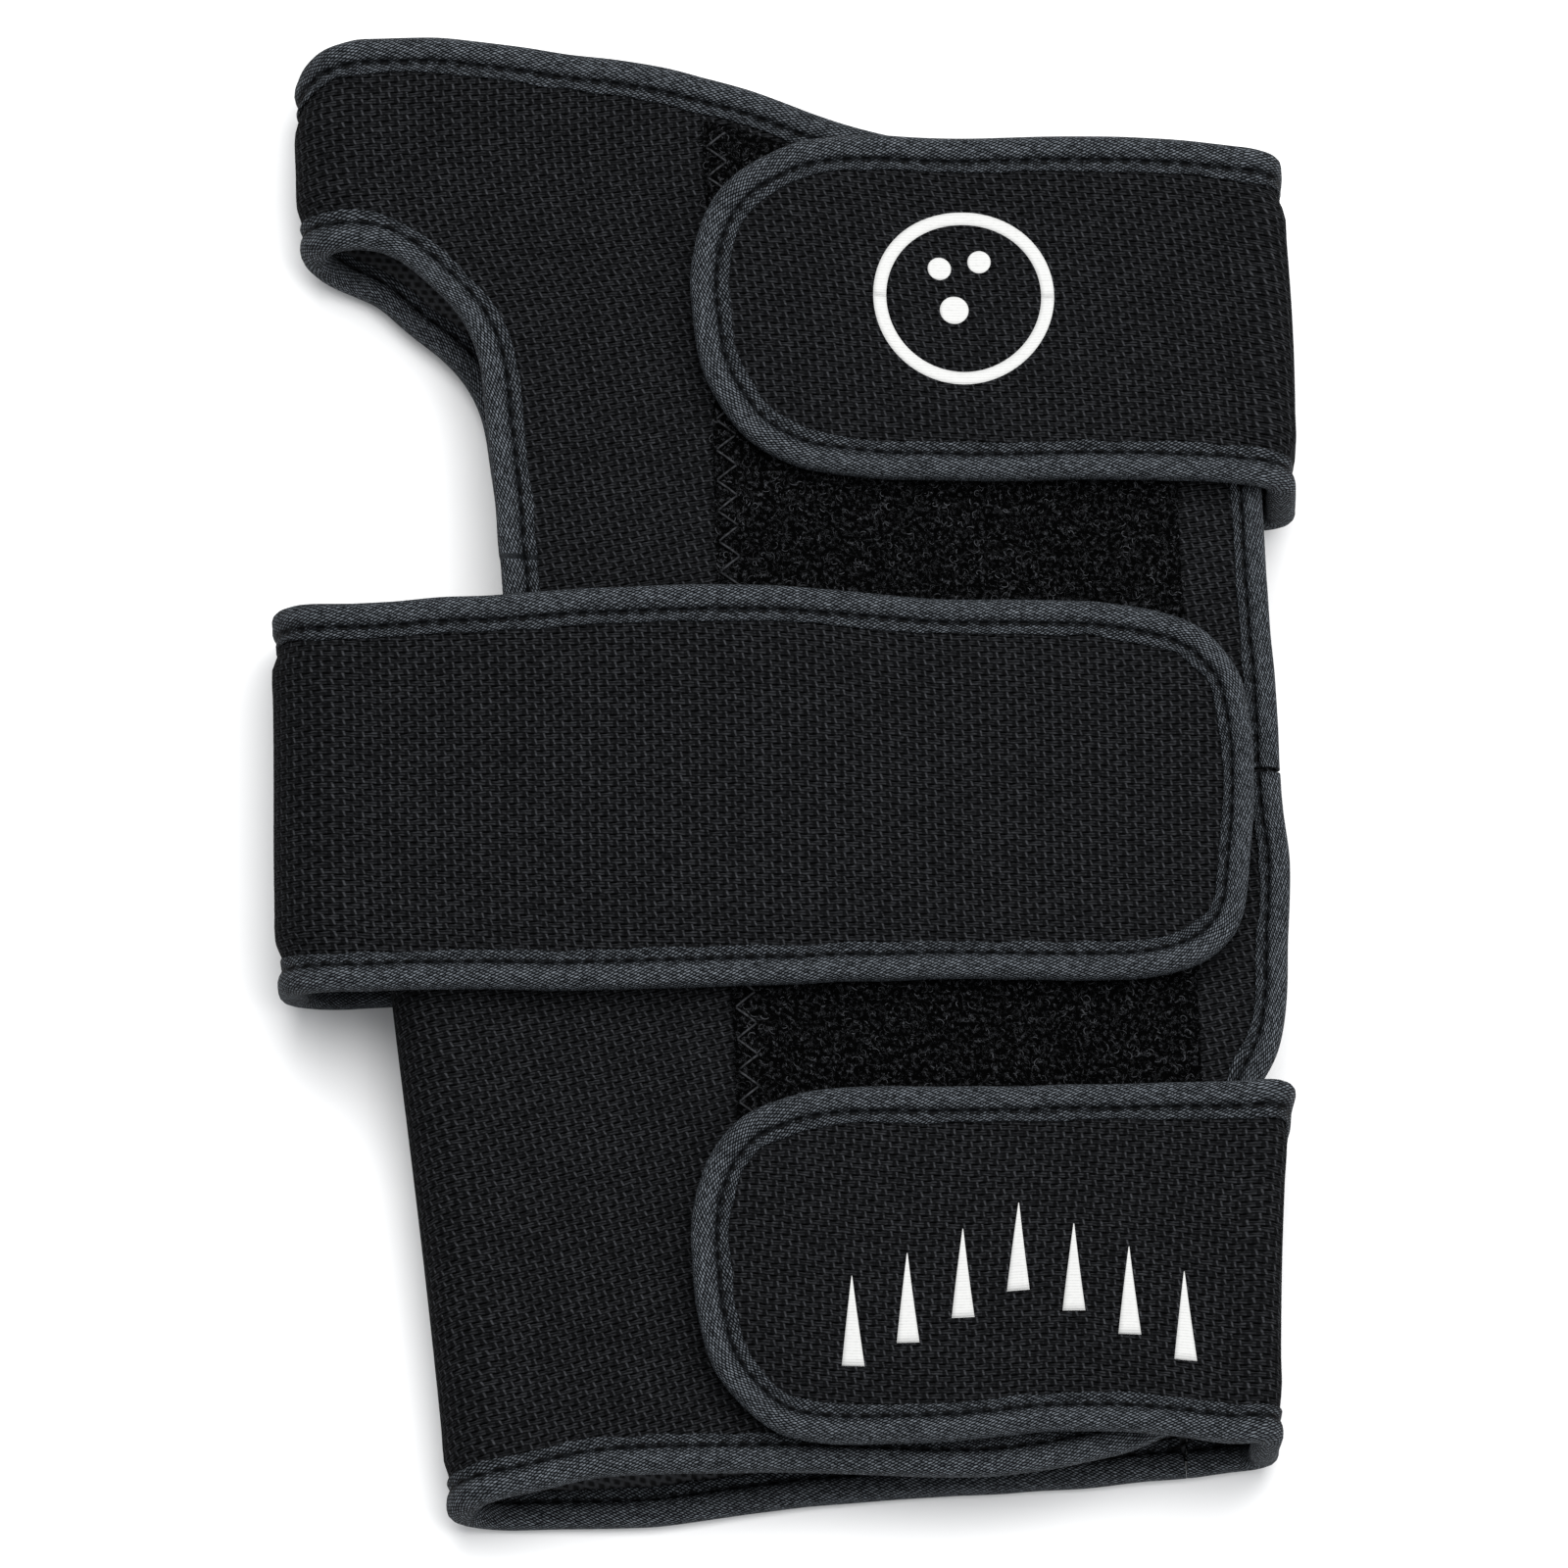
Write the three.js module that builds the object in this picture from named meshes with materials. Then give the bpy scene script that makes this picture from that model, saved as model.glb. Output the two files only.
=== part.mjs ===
// Wrist-support bowling glove, unworn and lying palm side down with its three straps closed.
// Millimetres. X runs across the glove, Y from the forearm to the fingers, Z up from the surface.
import * as THREE from "three";

// Overall sizes
const gloveLength = 219; // forearm end to hand end, over the bindings
const gloveWidth = 149.6; // loop of the wrist strap to the folds of the other two straps
const foldAtForearm = 48; // the body's left fold, out from the middle line
const foldAtHand = 71.6;

// Materials and seams
const laminate = 2.6; // foam between a woven face and a lining, bonded
const tape = 0.6; // folded edge binding
const bindingWidth = 5.7; // as seen, from its outer edge inwards
const clearance = 0.3; // between pieces that are sewn together or lie on each other
const pile = 1.2; // loop field
const hookSheet = 0.6; // hook patch
const plySpacing = 14; // middle of the palm ply to middle of the front ply
const strapCorner = 4; // bend of a strap round the front ply's edge
const wristCorner = 9; // softer bend of the wrist strap's loose loop
const seamInset = 8; // from the straps' bends in to the seam that joins them to the palm ply

// Straps: width over the bindings, middle as a share of the glove's length, free end from the
// middle line towards the left (hand, forearm) or the right (wrist), length of the rounded end.
// Two are folded askew, towards the forearm; before is the way before the bend where that starts.
const handStrap = { width: 52.3, middle: 0.308, end: 13.9, round: 28, askew: 3, before: 17 };
const wristStrap = { width: 58, middle: -0.02, end: 68.1, round: 22.5 };
const forearmStrap = { width: 51.7, middle: -0.337, end: 13.2, round: 28, askew: 2.2, before: 0 };
const wristUnder = 84; // the wrist strap's run under the palm ply, from its bend
const wristLean = 0.022; // its fold comes inwards by this for each millimetre towards the forearm
const turnShare = 0.6; // share of a fold by which a strap has moved askew
const hookLength = 36;
const hookInset = 19; // from a strap's free end to its hook patch
const hookMargin = 2.5; // from a binding to a hook patch

// Thumb hole, straddling the left fold
const thumbHoleLength = 68.5;
const thumbHoleMiddle = 0.202; // share of the glove's length
const thumbReach = 14.5; // from the start of the fold into each ply

// Loop field on the front
const loopWidth = 67.5;
const loopInset = 16; // from the glove's right side to the field
const loopSlant = 0.032; // sideways for each millimetre along
const loopEnd = 0.42; // lower edge, as a share of the way across the forearm strap

const edgeBulge = 4.5; // how far the front ply's free edge stands out between the straps
const tapeMeeting = 0.55; // where the body's tapes meet, as a share of the way over the wrist strap

// Heights and offsets that follow
const halfLength = gloveLength / 2;
const halfWidth = gloveWidth / 2;
const bindingSet = clearance + tape; // from a ply's edge or face to the binding's outside
const palmZ = bindingSet + laminate / 2;
const frontZ = palmZ + plySpacing;
const strapZ = frontZ + laminate + 3 * clearance + pile + hookSheet;
const wristRise = laminate + 2 * bindingSet + clearance; // the body lifts over the wrist strap
const foldRadius = plySpacing / 2;

const clothFacets = 8; // round a half turn
const cornerFacets = 4; // round a quarter turn

// Edge of the hand end. across: share of a ply's run from the fold; drop: share of the length
const handEndFront = [
  { across: 0, drop: 0.001 },
  { across: 0.05, drop: 0 },
  { across: 0.1, drop: 0 },
  { across: 0.22, drop: 0.008 },
  { across: 0.33, drop: 0.018 },
  { across: 0.44, drop: 0.035 },
  { across: 0.52, drop: 0.053 },
  { across: 0.61, drop: 0.068 },
  { across: 0.7, drop: 0.075 },
  { across: 0.92, drop: 0.083 },
  { across: 0.97, drop: 0.09 },
  { across: 1, drop: 0.115 },
];
const handEndFold = [
  { turn: 0, drop: 0.001 },
  { turn: 0.25, drop: 0.008 },
  { turn: 0.5, drop: 0.021 },
  { turn: 1, drop: 0.029 },
];
// Edge of the forearm end. rise: share of the length
const forearmEndFront = [
  { across: 0, rise: 0.01 },
  { across: 0.1, rise: 0.021 },
  { across: 0.17, rise: 0.025 },
  { across: 0.32, rise: 0.026 },
  { across: 0.57, rise: 0.024 },
  { across: 0.67, rise: 0.0255 },
  { across: 0.78, rise: 0.035 },
  { across: 0.88, rise: 0.048 },
  { across: 0.945, rise: 0.07 },
  { across: 0.98, rise: 0.1 },
  { across: 1, rise: 0.137 },
];
const forearmEndFold = [
  { turn: 0, rise: 0.01 },
  { turn: 0.25, rise: 0.004 },
  { turn: 0.5, rise: 0 },
  { turn: 1, rise: 0 },
];
// The palm ply's ends run from the fold to the straps. toward: share of that way along the length
const palmHandEnd = [
  { across: 0, toward: 0 },
  { across: 0.2, toward: 0.12 },
  { across: 0.4, toward: 0.45 },
  { across: 0.6, toward: 0.82 },
  { across: 0.8, toward: 0.98 },
  { across: 1, toward: 1 },
];
const palmForearmEnd = [
  { across: 0, toward: 0 },
  { across: 0.25, toward: 0.02 },
  { across: 0.47, toward: 0.3 },
  { across: 0.81, toward: 0.65 },
  { across: 1, toward: 1 },
];
// Front ply's free edge from the hand strap down to the forearm strap. bulge: share of edgeBulge
const freeEdge = [
  { down: 0, bulge: 0 },
  { down: 0.08, bulge: 0.04 },
  { down: 0.17, bulge: 0.13 },
  { down: 0.34, bulge: 0.33 },
  { down: 0.5, bulge: 0.6 },
  { down: 0.63, bulge: 0.94 },
  { down: 0.76, bulge: 0.92 },
  { down: 0.86, bulge: 0.87 },
  { down: 0.94, bulge: 0.6 },
  { down: 1, bulge: 0 },
];
// The body's left fold. along: share of the length; out: from foldAtForearm to foldAtHand
const leftSide = [
  { along: 0, out: 0 },
  { along: 0.16, out: 0.15 },
  { along: 0.33, out: 0.35 },
  { along: 0.64, out: 0.64 },
  { along: 0.8, out: 0.81 },
  { along: 0.87, out: 0.95 },
  { along: 0.94, out: 0.985 },
  { along: 1, out: 0.95 },
];
// Folds of the hand and forearm straps. along: share of the half length; inset: of the half width
const rightSide = [
  { along: -0.92, inset: 0.032 },
  { along: -0.44, inset: 0.016 },
  { along: 0.4, inset: 0 },
  { along: 0.86, inset: 0.027 },
];
// Thumb hole's outline. reach: share of thumbReach; low and high: shares of the hole's length
const thumbFront = [
  { reach: 1, low: 0.3, high: 0.64 },
  { reach: 0.97, low: 0.19, high: 0.76 },
  { reach: 0.86, low: 0.11, high: 0.84 },
  { reach: 0.63, low: 0.045, high: 0.917 },
  { reach: 0.33, low: 0.01, high: 0.98 },
];
const thumbFold = [
  { turn: 0, low: 0, high: 1 },
  { turn: 0.5, low: 0, high: 0.987 },
  { turn: 1, low: 0, high: 0.93 },
];
const thumbPalm = [
  { reach: 0.33, low: 0.01, high: 0.86 },
  { reach: 0.63, low: 0.045, high: 0.8 },
  { reach: 0.86, low: 0.11, high: 0.73 },
  { reach: 0.97, low: 0.19, high: 0.66 },
  { reach: 1, low: 0.3, high: 0.56 },
];
// Rounded ends of the straps. back: share of the rounded length; low and high: of the width
const handEndRound = [
  { back: 1, low: 0, high: 1 },
  { back: 0.76, low: 0.011, high: 0.99 },
  { back: 0.53, low: 0.04, high: 0.967 },
  { back: 0.3, low: 0.115, high: 0.902 },
  { back: 0.15, low: 0.219, high: 0.825 },
  { back: 0.06, low: 0.325, high: 0.735 },
  { back: 0.015, low: 0.445, high: 0.645 },
  { back: 0, low: 0.53, high: 0.59 },
];
const wristEndRound = [
  { back: 1, low: 0, high: 1 },
  { back: 0.64, low: 0.019, high: 0.951 },
  { back: 0.32, low: 0.052, high: 0.9 },
  { back: 0.12, low: 0.123, high: 0.804 },
  { back: 0.045, low: 0.205, high: 0.7 },
  { back: 0, low: 0.44, high: 0.59 },
];
const forearmEndRound = [
  { back: 1, low: 0, high: 1 },
  { back: 0.62, low: 0, high: 0.972 },
  { back: 0.4, low: 0.012, high: 0.94 },
  { back: 0.22, low: 0.09, high: 0.888 },
  { back: 0.1, low: 0.187, high: 0.805 },
  { back: 0.03, low: 0.34, high: 0.697 },
  { back: 0, low: 0.485, high: 0.6 },
];

const mix = (from, to, share) => from + (to - from) * share;

// Smooth reading of a table at a place between its rows.
function read(table, key, value, at) {
  const rows = [...table].sort((one, other) => one[key] - other[key]);
  if (at <= rows[0][key]) return rows[0][value];
  const last = rows.length - 1;
  if (at >= rows[last][key]) return rows[last][value];
  const i = rows.findIndex((row) => row[key] > at) - 1;
  const slope = (k) => {
    const before = rows[Math.max(k - 1, 0)];
    const after = rows[Math.min(k + 1, last)];
    return (after[value] - before[value]) / (after[key] - before[key]);
  };
  const step = rows[i + 1][key] - rows[i][key];
  const t = (at - rows[i][key]) / step;
  const start = rows[i][value];
  const end = rows[i + 1][value];
  const eased = t * t * (3 - 2 * t);
  const lean = t * (1 - t) * ((1 - t) * slope(i) - t * slope(i + 1)) * step;
  return mix(start, end, eased) + lean;
}

// Places along the glove
const strapLow = (strap) => strap.middle * gloveLength - strap.width / 2;
const strapHigh = (strap) => strap.middle * gloveLength + strap.width / 2;

// The body arches over the wrist strap's back and comes down to the surface at both ends.
function lift(y) {
  const high = strapHigh(wristStrap);
  const low = strapLow(wristStrap);
  if (y > high) return wristRise * (1 - (y - high) / (halfLength - high));
  if (y < low) return wristRise * (1 - (low - y) / (low + halfLength));
  return wristRise;
}

// A ply that runs flat, turns round a fold at one side and runs back flat underneath.
// q is the way along its section, from the fold's start out over the top; it is negative round
// the fold and under it. h is the height over the ply's middle, outwards. Folded askew, the ply
// also moves along the glove on its way round.
function wrap({ side, foldX, topZ, bottomZ, corner, lifted, askew = 0, before = 0 }) {
  const quarter = (corner * Math.PI) / 2;
  const upright = topZ - bottomZ - 2 * corner;
  const foldLength = 2 * quarter + upright;
  const startX = (y) => foldX(y) - side * (laminate / 2 + corner);
  const aside = (q) => {
    const t = Math.min(Math.max((before - q) / (before + foldLength * turnShare), 0), 1);
    return askew * t * t * (3 - 2 * t);
  };
  function place(q, flatY, h) {
    const y = flatY - aside(q);
    const down = -q;
    const round = corner + h;
    const point = { out: down, z: topZ + h };
    if (down > foldLength) {
      point.out = foldLength - down;
      point.z = bottomZ - h;
    } else if (down > quarter + upright) {
      const angle = (down - quarter - upright) / corner;
      point.out = round * Math.cos(angle);
      point.z = bottomZ + corner - round * Math.sin(angle);
    } else if (down > quarter) {
      point.out = round;
      point.z = topZ - corner - (down - quarter);
    } else if (down > 0) {
      point.out = round * Math.sin(down / corner);
      point.z = topZ - corner + round * Math.cos(down / corner);
    }
    return [startX(y) + side * point.out, y, point.z + (lifted ? lift(y) : 0)];
  }
  // Ways along the section that reach a given X over and under the fold.
  const over = (x, y) => side * (startX(y) - x);
  const under = (x, y) => -foldLength - side * (startX(y) - x);
  return { place, startX, over, under, quarter, upright, foldLength };
}

// Materials
const cloth = { color: 0x1b1c1f, roughness: 0.9, metalness: 0 };
const tapeCloth = { color: 0x34383c, roughness: 0.8, metalness: 0 };
const loopCloth = { color: 0x0e0f11, roughness: 1, metalness: 0 };
const hookCloth = { color: 0x121316, roughness: 0.7, metalness: 0 };

function volumeOf(vertices, triangles) {
  let six = 0;
  for (const [a, b, c] of triangles) {
    const [p, q, r] = [vertices[a], vertices[b], vertices[c]];
    six += p[0] * (q[1] * r[2] - q[2] * r[1]);
    six += p[1] * (q[2] * r[0] - q[0] * r[2]);
    six += p[2] * (q[0] * r[1] - q[1] * r[0]);
  }
  return six / 6;
}

function makeMesh(name, finish, { vertices, triangles }) {
  const outward = volumeOf(vertices, triangles) > 0;
  const faces = outward ? triangles : triangles.map(([a, b, c]) => [a, c, b]);
  const geometry = new THREE.BufferGeometry();
  geometry.setAttribute("position", new THREE.Float32BufferAttribute(vertices.flat(), 3));
  geometry.setIndex(faces.flat());
  geometry.computeVertexNormals();
  const mesh = new THREE.Mesh(geometry, new THREE.MeshStandardMaterial(finish));
  mesh.name = name;
  return mesh;
}

// A sheet between two heights, from columns of points across it; isGap says which cells are open.
function sheetSolid(place, columns, low, high, isGap = () => false) {
  const rows = columns[0].ys.length;
  const vertices = [];
  const triangles = [];
  const at = (layer, i, j) => (layer * columns.length + i) * rows + j;
  const quad = (a, b, c, d) => triangles.push([a, b, c], [a, c, d]);
  const wall = (i, j, k, l) => quad(at(0, i, j), at(0, k, l), at(1, k, l), at(1, i, j));
  const filled = (i, j) =>
    i >= 0 && j >= 0 && i < columns.length - 1 && j < rows - 1 && !isGap(i, j);
  for (const h of [low, high]) {
    for (const column of columns) {
      for (const y of column.ys) vertices.push(place(column.q(y), y, h));
    }
  }
  for (let i = 0; i < columns.length - 1; i++) {
    for (let j = 0; j < rows - 1; j++) {
      if (!filled(i, j)) continue;
      quad(at(1, i, j), at(1, i + 1, j), at(1, i + 1, j + 1), at(1, i, j + 1));
      quad(at(0, i, j), at(0, i, j + 1), at(0, i + 1, j + 1), at(0, i + 1, j));
      if (!filled(i, j - 1)) wall(i, j, i + 1, j);
      if (!filled(i + 1, j)) wall(i + 1, j, i + 1, j + 1);
      if (!filled(i, j + 1)) wall(i + 1, j + 1, i, j + 1);
      if (!filled(i - 1, j)) wall(i, j + 1, i, j);
    }
  }
  return { vertices, triangles };
}

// Tape folded over a ply's edge. Stations run along the edge with the ply on their left.
function bindingSolid(place, stations, closed = false) {
  const inner = laminate / 2 + clearance;
  const outer = inner + tape;
  const into = bindingWidth - bindingSet;
  const profile = [
    { into, h: outer },
    { into: -bindingSet, h: outer },
    { into: -bindingSet, h: -outer },
    { into, h: -outer },
    { into, h: -inner },
    { into: -clearance, h: -inner },
    { into: -clearance, h: inner },
    { into, h: inner },
  ];
  const count = stations.length;
  const sides = profile.length;
  const along = (k) => {
    const from = stations[(k + count) % count];
    const to = stations[(k + 1) % count];
    const length = Math.hypot(to.q - from.q, to.y - from.y);
    return { q: (to.q - from.q) / length, y: (to.y - from.y) / length };
  };
  const vertices = [];
  stations.forEach((station, k) => {
    const before = closed || k > 0 ? along(k - 1) : along(k);
    const after = closed || k < count - 1 ? along(k) : along(k - 1);
    const sum = { q: before.q + after.q, y: before.y + after.y };
    const mitre = 2 / (sum.q * sum.q + sum.y * sum.y);
    for (const { into: depth, h } of profile) {
      const shift = depth * mitre;
      vertices.push(place(station.q - sum.y * shift, station.y + sum.q * shift, h));
    }
  });
  const triangles = [];
  const quad = (a, b, c, d) => triangles.push([a, b, c], [a, c, d]);
  for (let k = 0; k < (closed ? count : count - 1); k++) {
    const next = ((k + 1) % count) * sides;
    for (let s = 0; s < sides; s++) {
      const t = (s + 1) % sides;
      quad(k * sides + s, k * sides + t, next + t, next + s);
    }
  }
  if (!closed) {
    const end = (count - 1) * sides;
    const legs = [[7, 0, 1, 6], [6, 1, 2, 5], [5, 2, 3, 4]];
    for (const [a, b, c, d] of legs) {
      quad(d, c, b, a);
      quad(end + a, end + b, end + c, end + d);
    }
  }
  return { vertices, triangles };
}

// Straps

const rightFoldX = (y) =>
  halfWidth * (1 - read(rightSide, "along", "inset", y / halfLength)) - bindingSet;

const rightWrap = ({ askew, before }) =>
  wrap({
    side: 1,
    foldX: rightFoldX,
    topZ: strapZ,
    bottomZ: palmZ,
    corner: strapCorner,
    lifted: true,
    askew,
    before,
  });
const handWrap = rightWrap(handStrap);
const forearmWrap = rightWrap(forearmStrap);
const wristWrap = wrap({
  side: -1,
  foldX: (y) => bindingSet - halfWidth + wristLean * (strapHigh(wristStrap) - y),
  topZ: strapZ + wristRise,
  bottomZ: palmZ,
  corner: wristCorner,
  lifted: false,
});

// Ways along a section that follow its fold, from its start on top to its end underneath.
function foldStops({ quarter, upright }) {
  const stops = [];
  for (let k = 0; k <= cornerFacets; k++) stops.push((-quarter * k) / cornerFacets);
  for (let k = 0; k <= cornerFacets; k++) {
    stops.push(-quarter - upright - (quarter * k) / cornerFacets);
  }
  return stops;
}

// Columns of a strap from its sewn root under the glove, round its fold, to its rounded end.
function strapColumns(strap, strapWrap, underLength, endX, roundTable) {
  const low = strapLow(strap) + bindingSet;
  const high = strapHigh(strap) - bindingSet;
  const crossRows = 4;
  const column = (q, lowShare = 0, highShare = 1) => {
    const ys = [];
    for (let j = 0; j <= crossRows; j++) {
      ys.push(mix(low, high, mix(lowShare, highShare, j / crossRows)));
    }
    return { q, ys };
  };
  const endQ = (y, back) => strapWrap.over(endX, y) - back;
  const columns = [column(() => -strapWrap.foldLength - underLength)];
  for (const stop of foldStops(strapWrap).reverse()) columns.push(column(() => stop));
  const topStops = 3;
  for (let k = 1; k < topStops; k++) {
    columns.push(column((y) => (endQ(y, strap.round) * k) / topStops));
  }
  for (const { back, low: lowShare, high: highShare } of roundTable) {
    columns.push(column((y) => endQ(y, back * strap.round), lowShare, highShare));
  }
  return columns;
}

// The strap's edge, from the root along one side, round the end and back along the other.
function strapStations(columns) {
  const top = columns[0].ys.length - 1;
  const station = ({ q, ys }, j) => ({ q: q(ys[j]), y: ys[j] });
  const lowSide = columns.map((column) => station(column, 0));
  const highSide = columns.map((column) => station(column, top)).reverse();
  return [...lowSide, ...highSide];
}

function makeStrap(name, strap, strapWrap, underLength, endX, roundTable) {
  const group = new THREE.Group();
  const ply = strapColumns(strap, strapWrap, underLength, endX, roundTable);
  const half = laminate / 2;
  group.add(makeMesh(name, cloth, sheetSolid(strapWrap.place, ply, -half, half)));
  const edge = bindingSolid(strapWrap.place, strapStations(ply));
  group.add(makeMesh(name + "_binding", tapeCloth, edge));

  const margin = bindingWidth + hookMargin;
  const hookLow = strapLow(strap) + margin;
  const hookHigh = strapHigh(strap) - margin;
  const hookStart = (y) => strapWrap.over(endX, y) - hookInset;
  const hook = [hookLength, 0].map((back) => ({
    q: (y) => hookStart(y) - back,
    ys: [hookLow, hookHigh],
  }));
  const hookTop = -half - clearance;
  const patch = sheetSolid(strapWrap.place, hook, hookTop - hookSheet, hookTop);
  group.add(makeMesh(name + "_hook_patch", hookCloth, patch));
  return group;
}

// Body

const leftFoldX = (y) =>
  -mix(foldAtForearm, foldAtHand, read(leftSide, "along", "out", (y + halfLength) / gloveLength));

const bodyWrap = wrap({
  side: -1,
  foldX: leftFoldX,
  topZ: frontZ,
  bottomZ: palmZ,
  corner: foldRadius,
  lifted: true,
});

// The front ply's edge tucks inside the straps' folds and stands out between them.
function frontEdgeX(y) {
  const inside = strapCorner - laminate / 2 - bindingSet;
  const rise = frontZ + laminate / 2 + bindingSet - (strapZ - strapCorner);
  const relief = inside - Math.sqrt(Math.max(inside * inside - rise * rise, 0));
  const tuck = laminate + 2 * bindingSet + clearance + relief;
  const from = strapLow(handStrap);
  const to = strapHigh(forearmStrap);
  const bulge = read(freeEdge, "down", "bulge", (from - y) / (from - to));
  return rightFoldX(y) - tuck + edgeBulge * bulge;
}

const frontWidth = (y) => bodyWrap.over(frontEdgeX(y), y);
const palmEdgeX = (y) => handWrap.startX(y) - seamInset;
const palmWidth = (y) => -bodyWrap.foldLength - bodyWrap.under(palmEdgeX(y), y);

const holeY = (share) => thumbHoleMiddle * gloveLength + (share - 0.5) * thumbHoleLength;

const sheetTop = halfLength - bindingSet;
const crossShares = [0.12, 0.25, 0.38, 0.5, 0.6, 0.7, 0.79, 0.87, 0.93, 0.97, 1];

// Rows of the body, as shares of the way between the lines that they run between: its forearm
// end, the forearm strap, the wrist strap, the thumb hole's two sides and its hand end.
const underForearmStrap = [0, 0.2, 0.42, 0.7];
const besideWristStrap = [0, 0.33, 0.66];
const underWristStrap = [0, 0.2, 0.4, 0.6, 0.8];
const besideHole = [0, 0.25, 0.5, 0.75];
const aboveHole = [0, 0.25, 0.5, 0.75, 1];
const holeFirstRow = [...underForearmStrap, ...besideWristStrap, ...underWristStrap].length;
const holeLastRow = holeFirstRow + besideHole.length - 1;

// Where a column of the body lies and where the glove's two ends and the hole cut it.
function bodyColumn(q, low, high, bottom, top) {
  const spread = (shares, from, to) => shares.map((share) => mix(from, to, share));
  const ys = [
    ...spread(underForearmStrap, bottom, strapHigh(forearmStrap)),
    ...spread(besideWristStrap, strapHigh(forearmStrap), strapLow(wristStrap)),
    ...spread(underWristStrap, strapLow(wristStrap), low),
    ...spread(besideHole, low, high),
    ...spread(aboveHole, high, top),
  ];
  return { q, ys };
}

function frontColumn(q, low, high) {
  const topShare = q(sheetTop) / frontWidth(sheetTop);
  const bottomShare = q(-sheetTop) / frontWidth(-sheetTop);
  const drop = read(handEndFront, "across", "drop", topShare);
  const rise = read(forearmEndFront, "across", "rise", bottomShare);
  const bottom = gloveLength * rise - sheetTop;
  return bodyColumn(q, low, high, bottom, sheetTop - gloveLength * drop);
}

function foldColumn(turn) {
  const drop = read(handEndFold, "turn", "drop", turn);
  const rise = read(forearmEndFold, "turn", "rise", turn);
  const low = holeY(read(thumbFold, "turn", "low", turn));
  const high = holeY(read(thumbFold, "turn", "high", turn));
  const bottom = gloveLength * rise - sheetTop;
  const q = () => -bodyWrap.foldLength * turn;
  return bodyColumn(q, low, high, bottom, sheetTop - gloveLength * drop);
}

function palmColumn(q, low, high) {
  const share = (y) => (-bodyWrap.foldLength - q(y)) / palmWidth(y);
  const handStart = sheetTop - gloveLength * handEndFold.at(-1).drop;
  const handFinish = strapHigh(handStrap) - handStrap.askew - bindingSet;
  const forearmFinish = strapLow(forearmStrap) - forearmStrap.askew + bindingSet;
  const towardHand = read(palmHandEnd, "across", "toward", share(handStart));
  const towardForearm = read(palmForearmEnd, "across", "toward", share(-sheetTop));
  const bottom = mix(-sheetTop, forearmFinish, towardForearm);
  return bodyColumn(q, low, high, bottom, mix(handStart, handFinish, towardHand));
}

// From the front ply's free edge, over the front, round the fold and under the palm.
function bodyColumns() {
  const low = strapHigh(wristStrap);
  const high = strapLow(handStrap);
  const front = crossShares.toReversed().map((share) => {
    const q = (y) => mix(thumbReach, frontWidth(y), share);
    return frontColumn(q, low, high);
  });
  const frontHole = thumbFront.map((row) =>
    frontColumn(() => row.reach * thumbReach, holeY(row.low), holeY(row.high)),
  );
  const fold = [];
  for (let k = 0; k <= clothFacets; k++) fold.push(foldColumn(k / clothFacets));
  const palmHole = thumbPalm.map((row) => {
    const q = () => -bodyWrap.foldLength - row.reach * thumbReach;
    return palmColumn(q, holeY(row.low), holeY(row.high));
  });
  const palm = crossShares.map((share) => {
    const q = (y) => -bodyWrap.foldLength - mix(thumbReach, palmWidth(y), share);
    return palmColumn(q, low, high);
  });
  const columns = [...front, ...frontHole, ...fold, ...palmHole, ...palm];
  return { columns, holeStart: front.length, holeEnd: columns.length - palm.length - 1 };
}

const body = bodyColumns();
const stationAt = (column, j) => ({ q: column.q(column.ys[j]), y: column.ys[j] });
const lastRow = body.columns[0].ys.length - 1;

function bodyPanel() {
  const inHole = (i, j) =>
    i >= body.holeStart && i < body.holeEnd && j >= holeFirstRow && j <= holeLastRow;
  return sheetSolid(bodyWrap.place, body.columns, -laminate / 2, laminate / 2, inHole);
}

// The two tapes of the body meet on the front ply's free edge, near the end of the wrist strap.
const tapeJoint = mix(strapLow(wristStrap), strapHigh(wristStrap), tapeMeeting);
const stationGap = 1; // least distance between the tape's end and its next station

function freeEdgeAt(y) {
  const { ys } = body.columns[0];
  const j = ys.findIndex((row) => row > y);
  const [low, high] = [stationAt(body.columns[0], j - 1), stationAt(body.columns[0], j)];
  return { q: mix(low.q, high.q, (y - low.y) / (high.y - low.y)), y };
}

const freeEdgeRows = body.columns[0].ys.map((_, j) => stationAt(body.columns[0], j));

function handEndBinding() {
  const start = tapeJoint + clearance / 2;
  const up = freeEdgeRows.slice(0, -1).filter(({ y }) => y > start + stationGap);
  const across = body.columns.map((column) => stationAt(column, lastRow));
  return bindingSolid(bodyWrap.place, [freeEdgeAt(start), ...up, ...across]);
}

function forearmEndBinding() {
  const finish = tapeJoint - clearance / 2;
  const up = freeEdgeRows.slice(1).filter(({ y }) => y < finish - stationGap);
  const across = body.columns.map((column) => stationAt(column, 0)).reverse();
  return bindingSolid(bodyWrap.place, [...across, ...up, freeEdgeAt(finish)]);
}

function thumbBinding() {
  const hole = body.columns.slice(body.holeStart, body.holeEnd + 1);
  const first = hole[0];
  const last = hole.at(-1);
  const bluntRows = [holeFirstRow + 1, holeLastRow];
  const loop = [
    ...hole.map((column) => stationAt(column, holeLastRow + 1)),
    ...bluntRows.toReversed().map((j) => stationAt(last, j)),
    ...hole.map((column) => stationAt(column, holeFirstRow)).reverse(),
    ...bluntRows.map((j) => stationAt(first, j)),
  ];
  return bindingSolid(bodyWrap.place, loop.reverse(), true);
}

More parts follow.
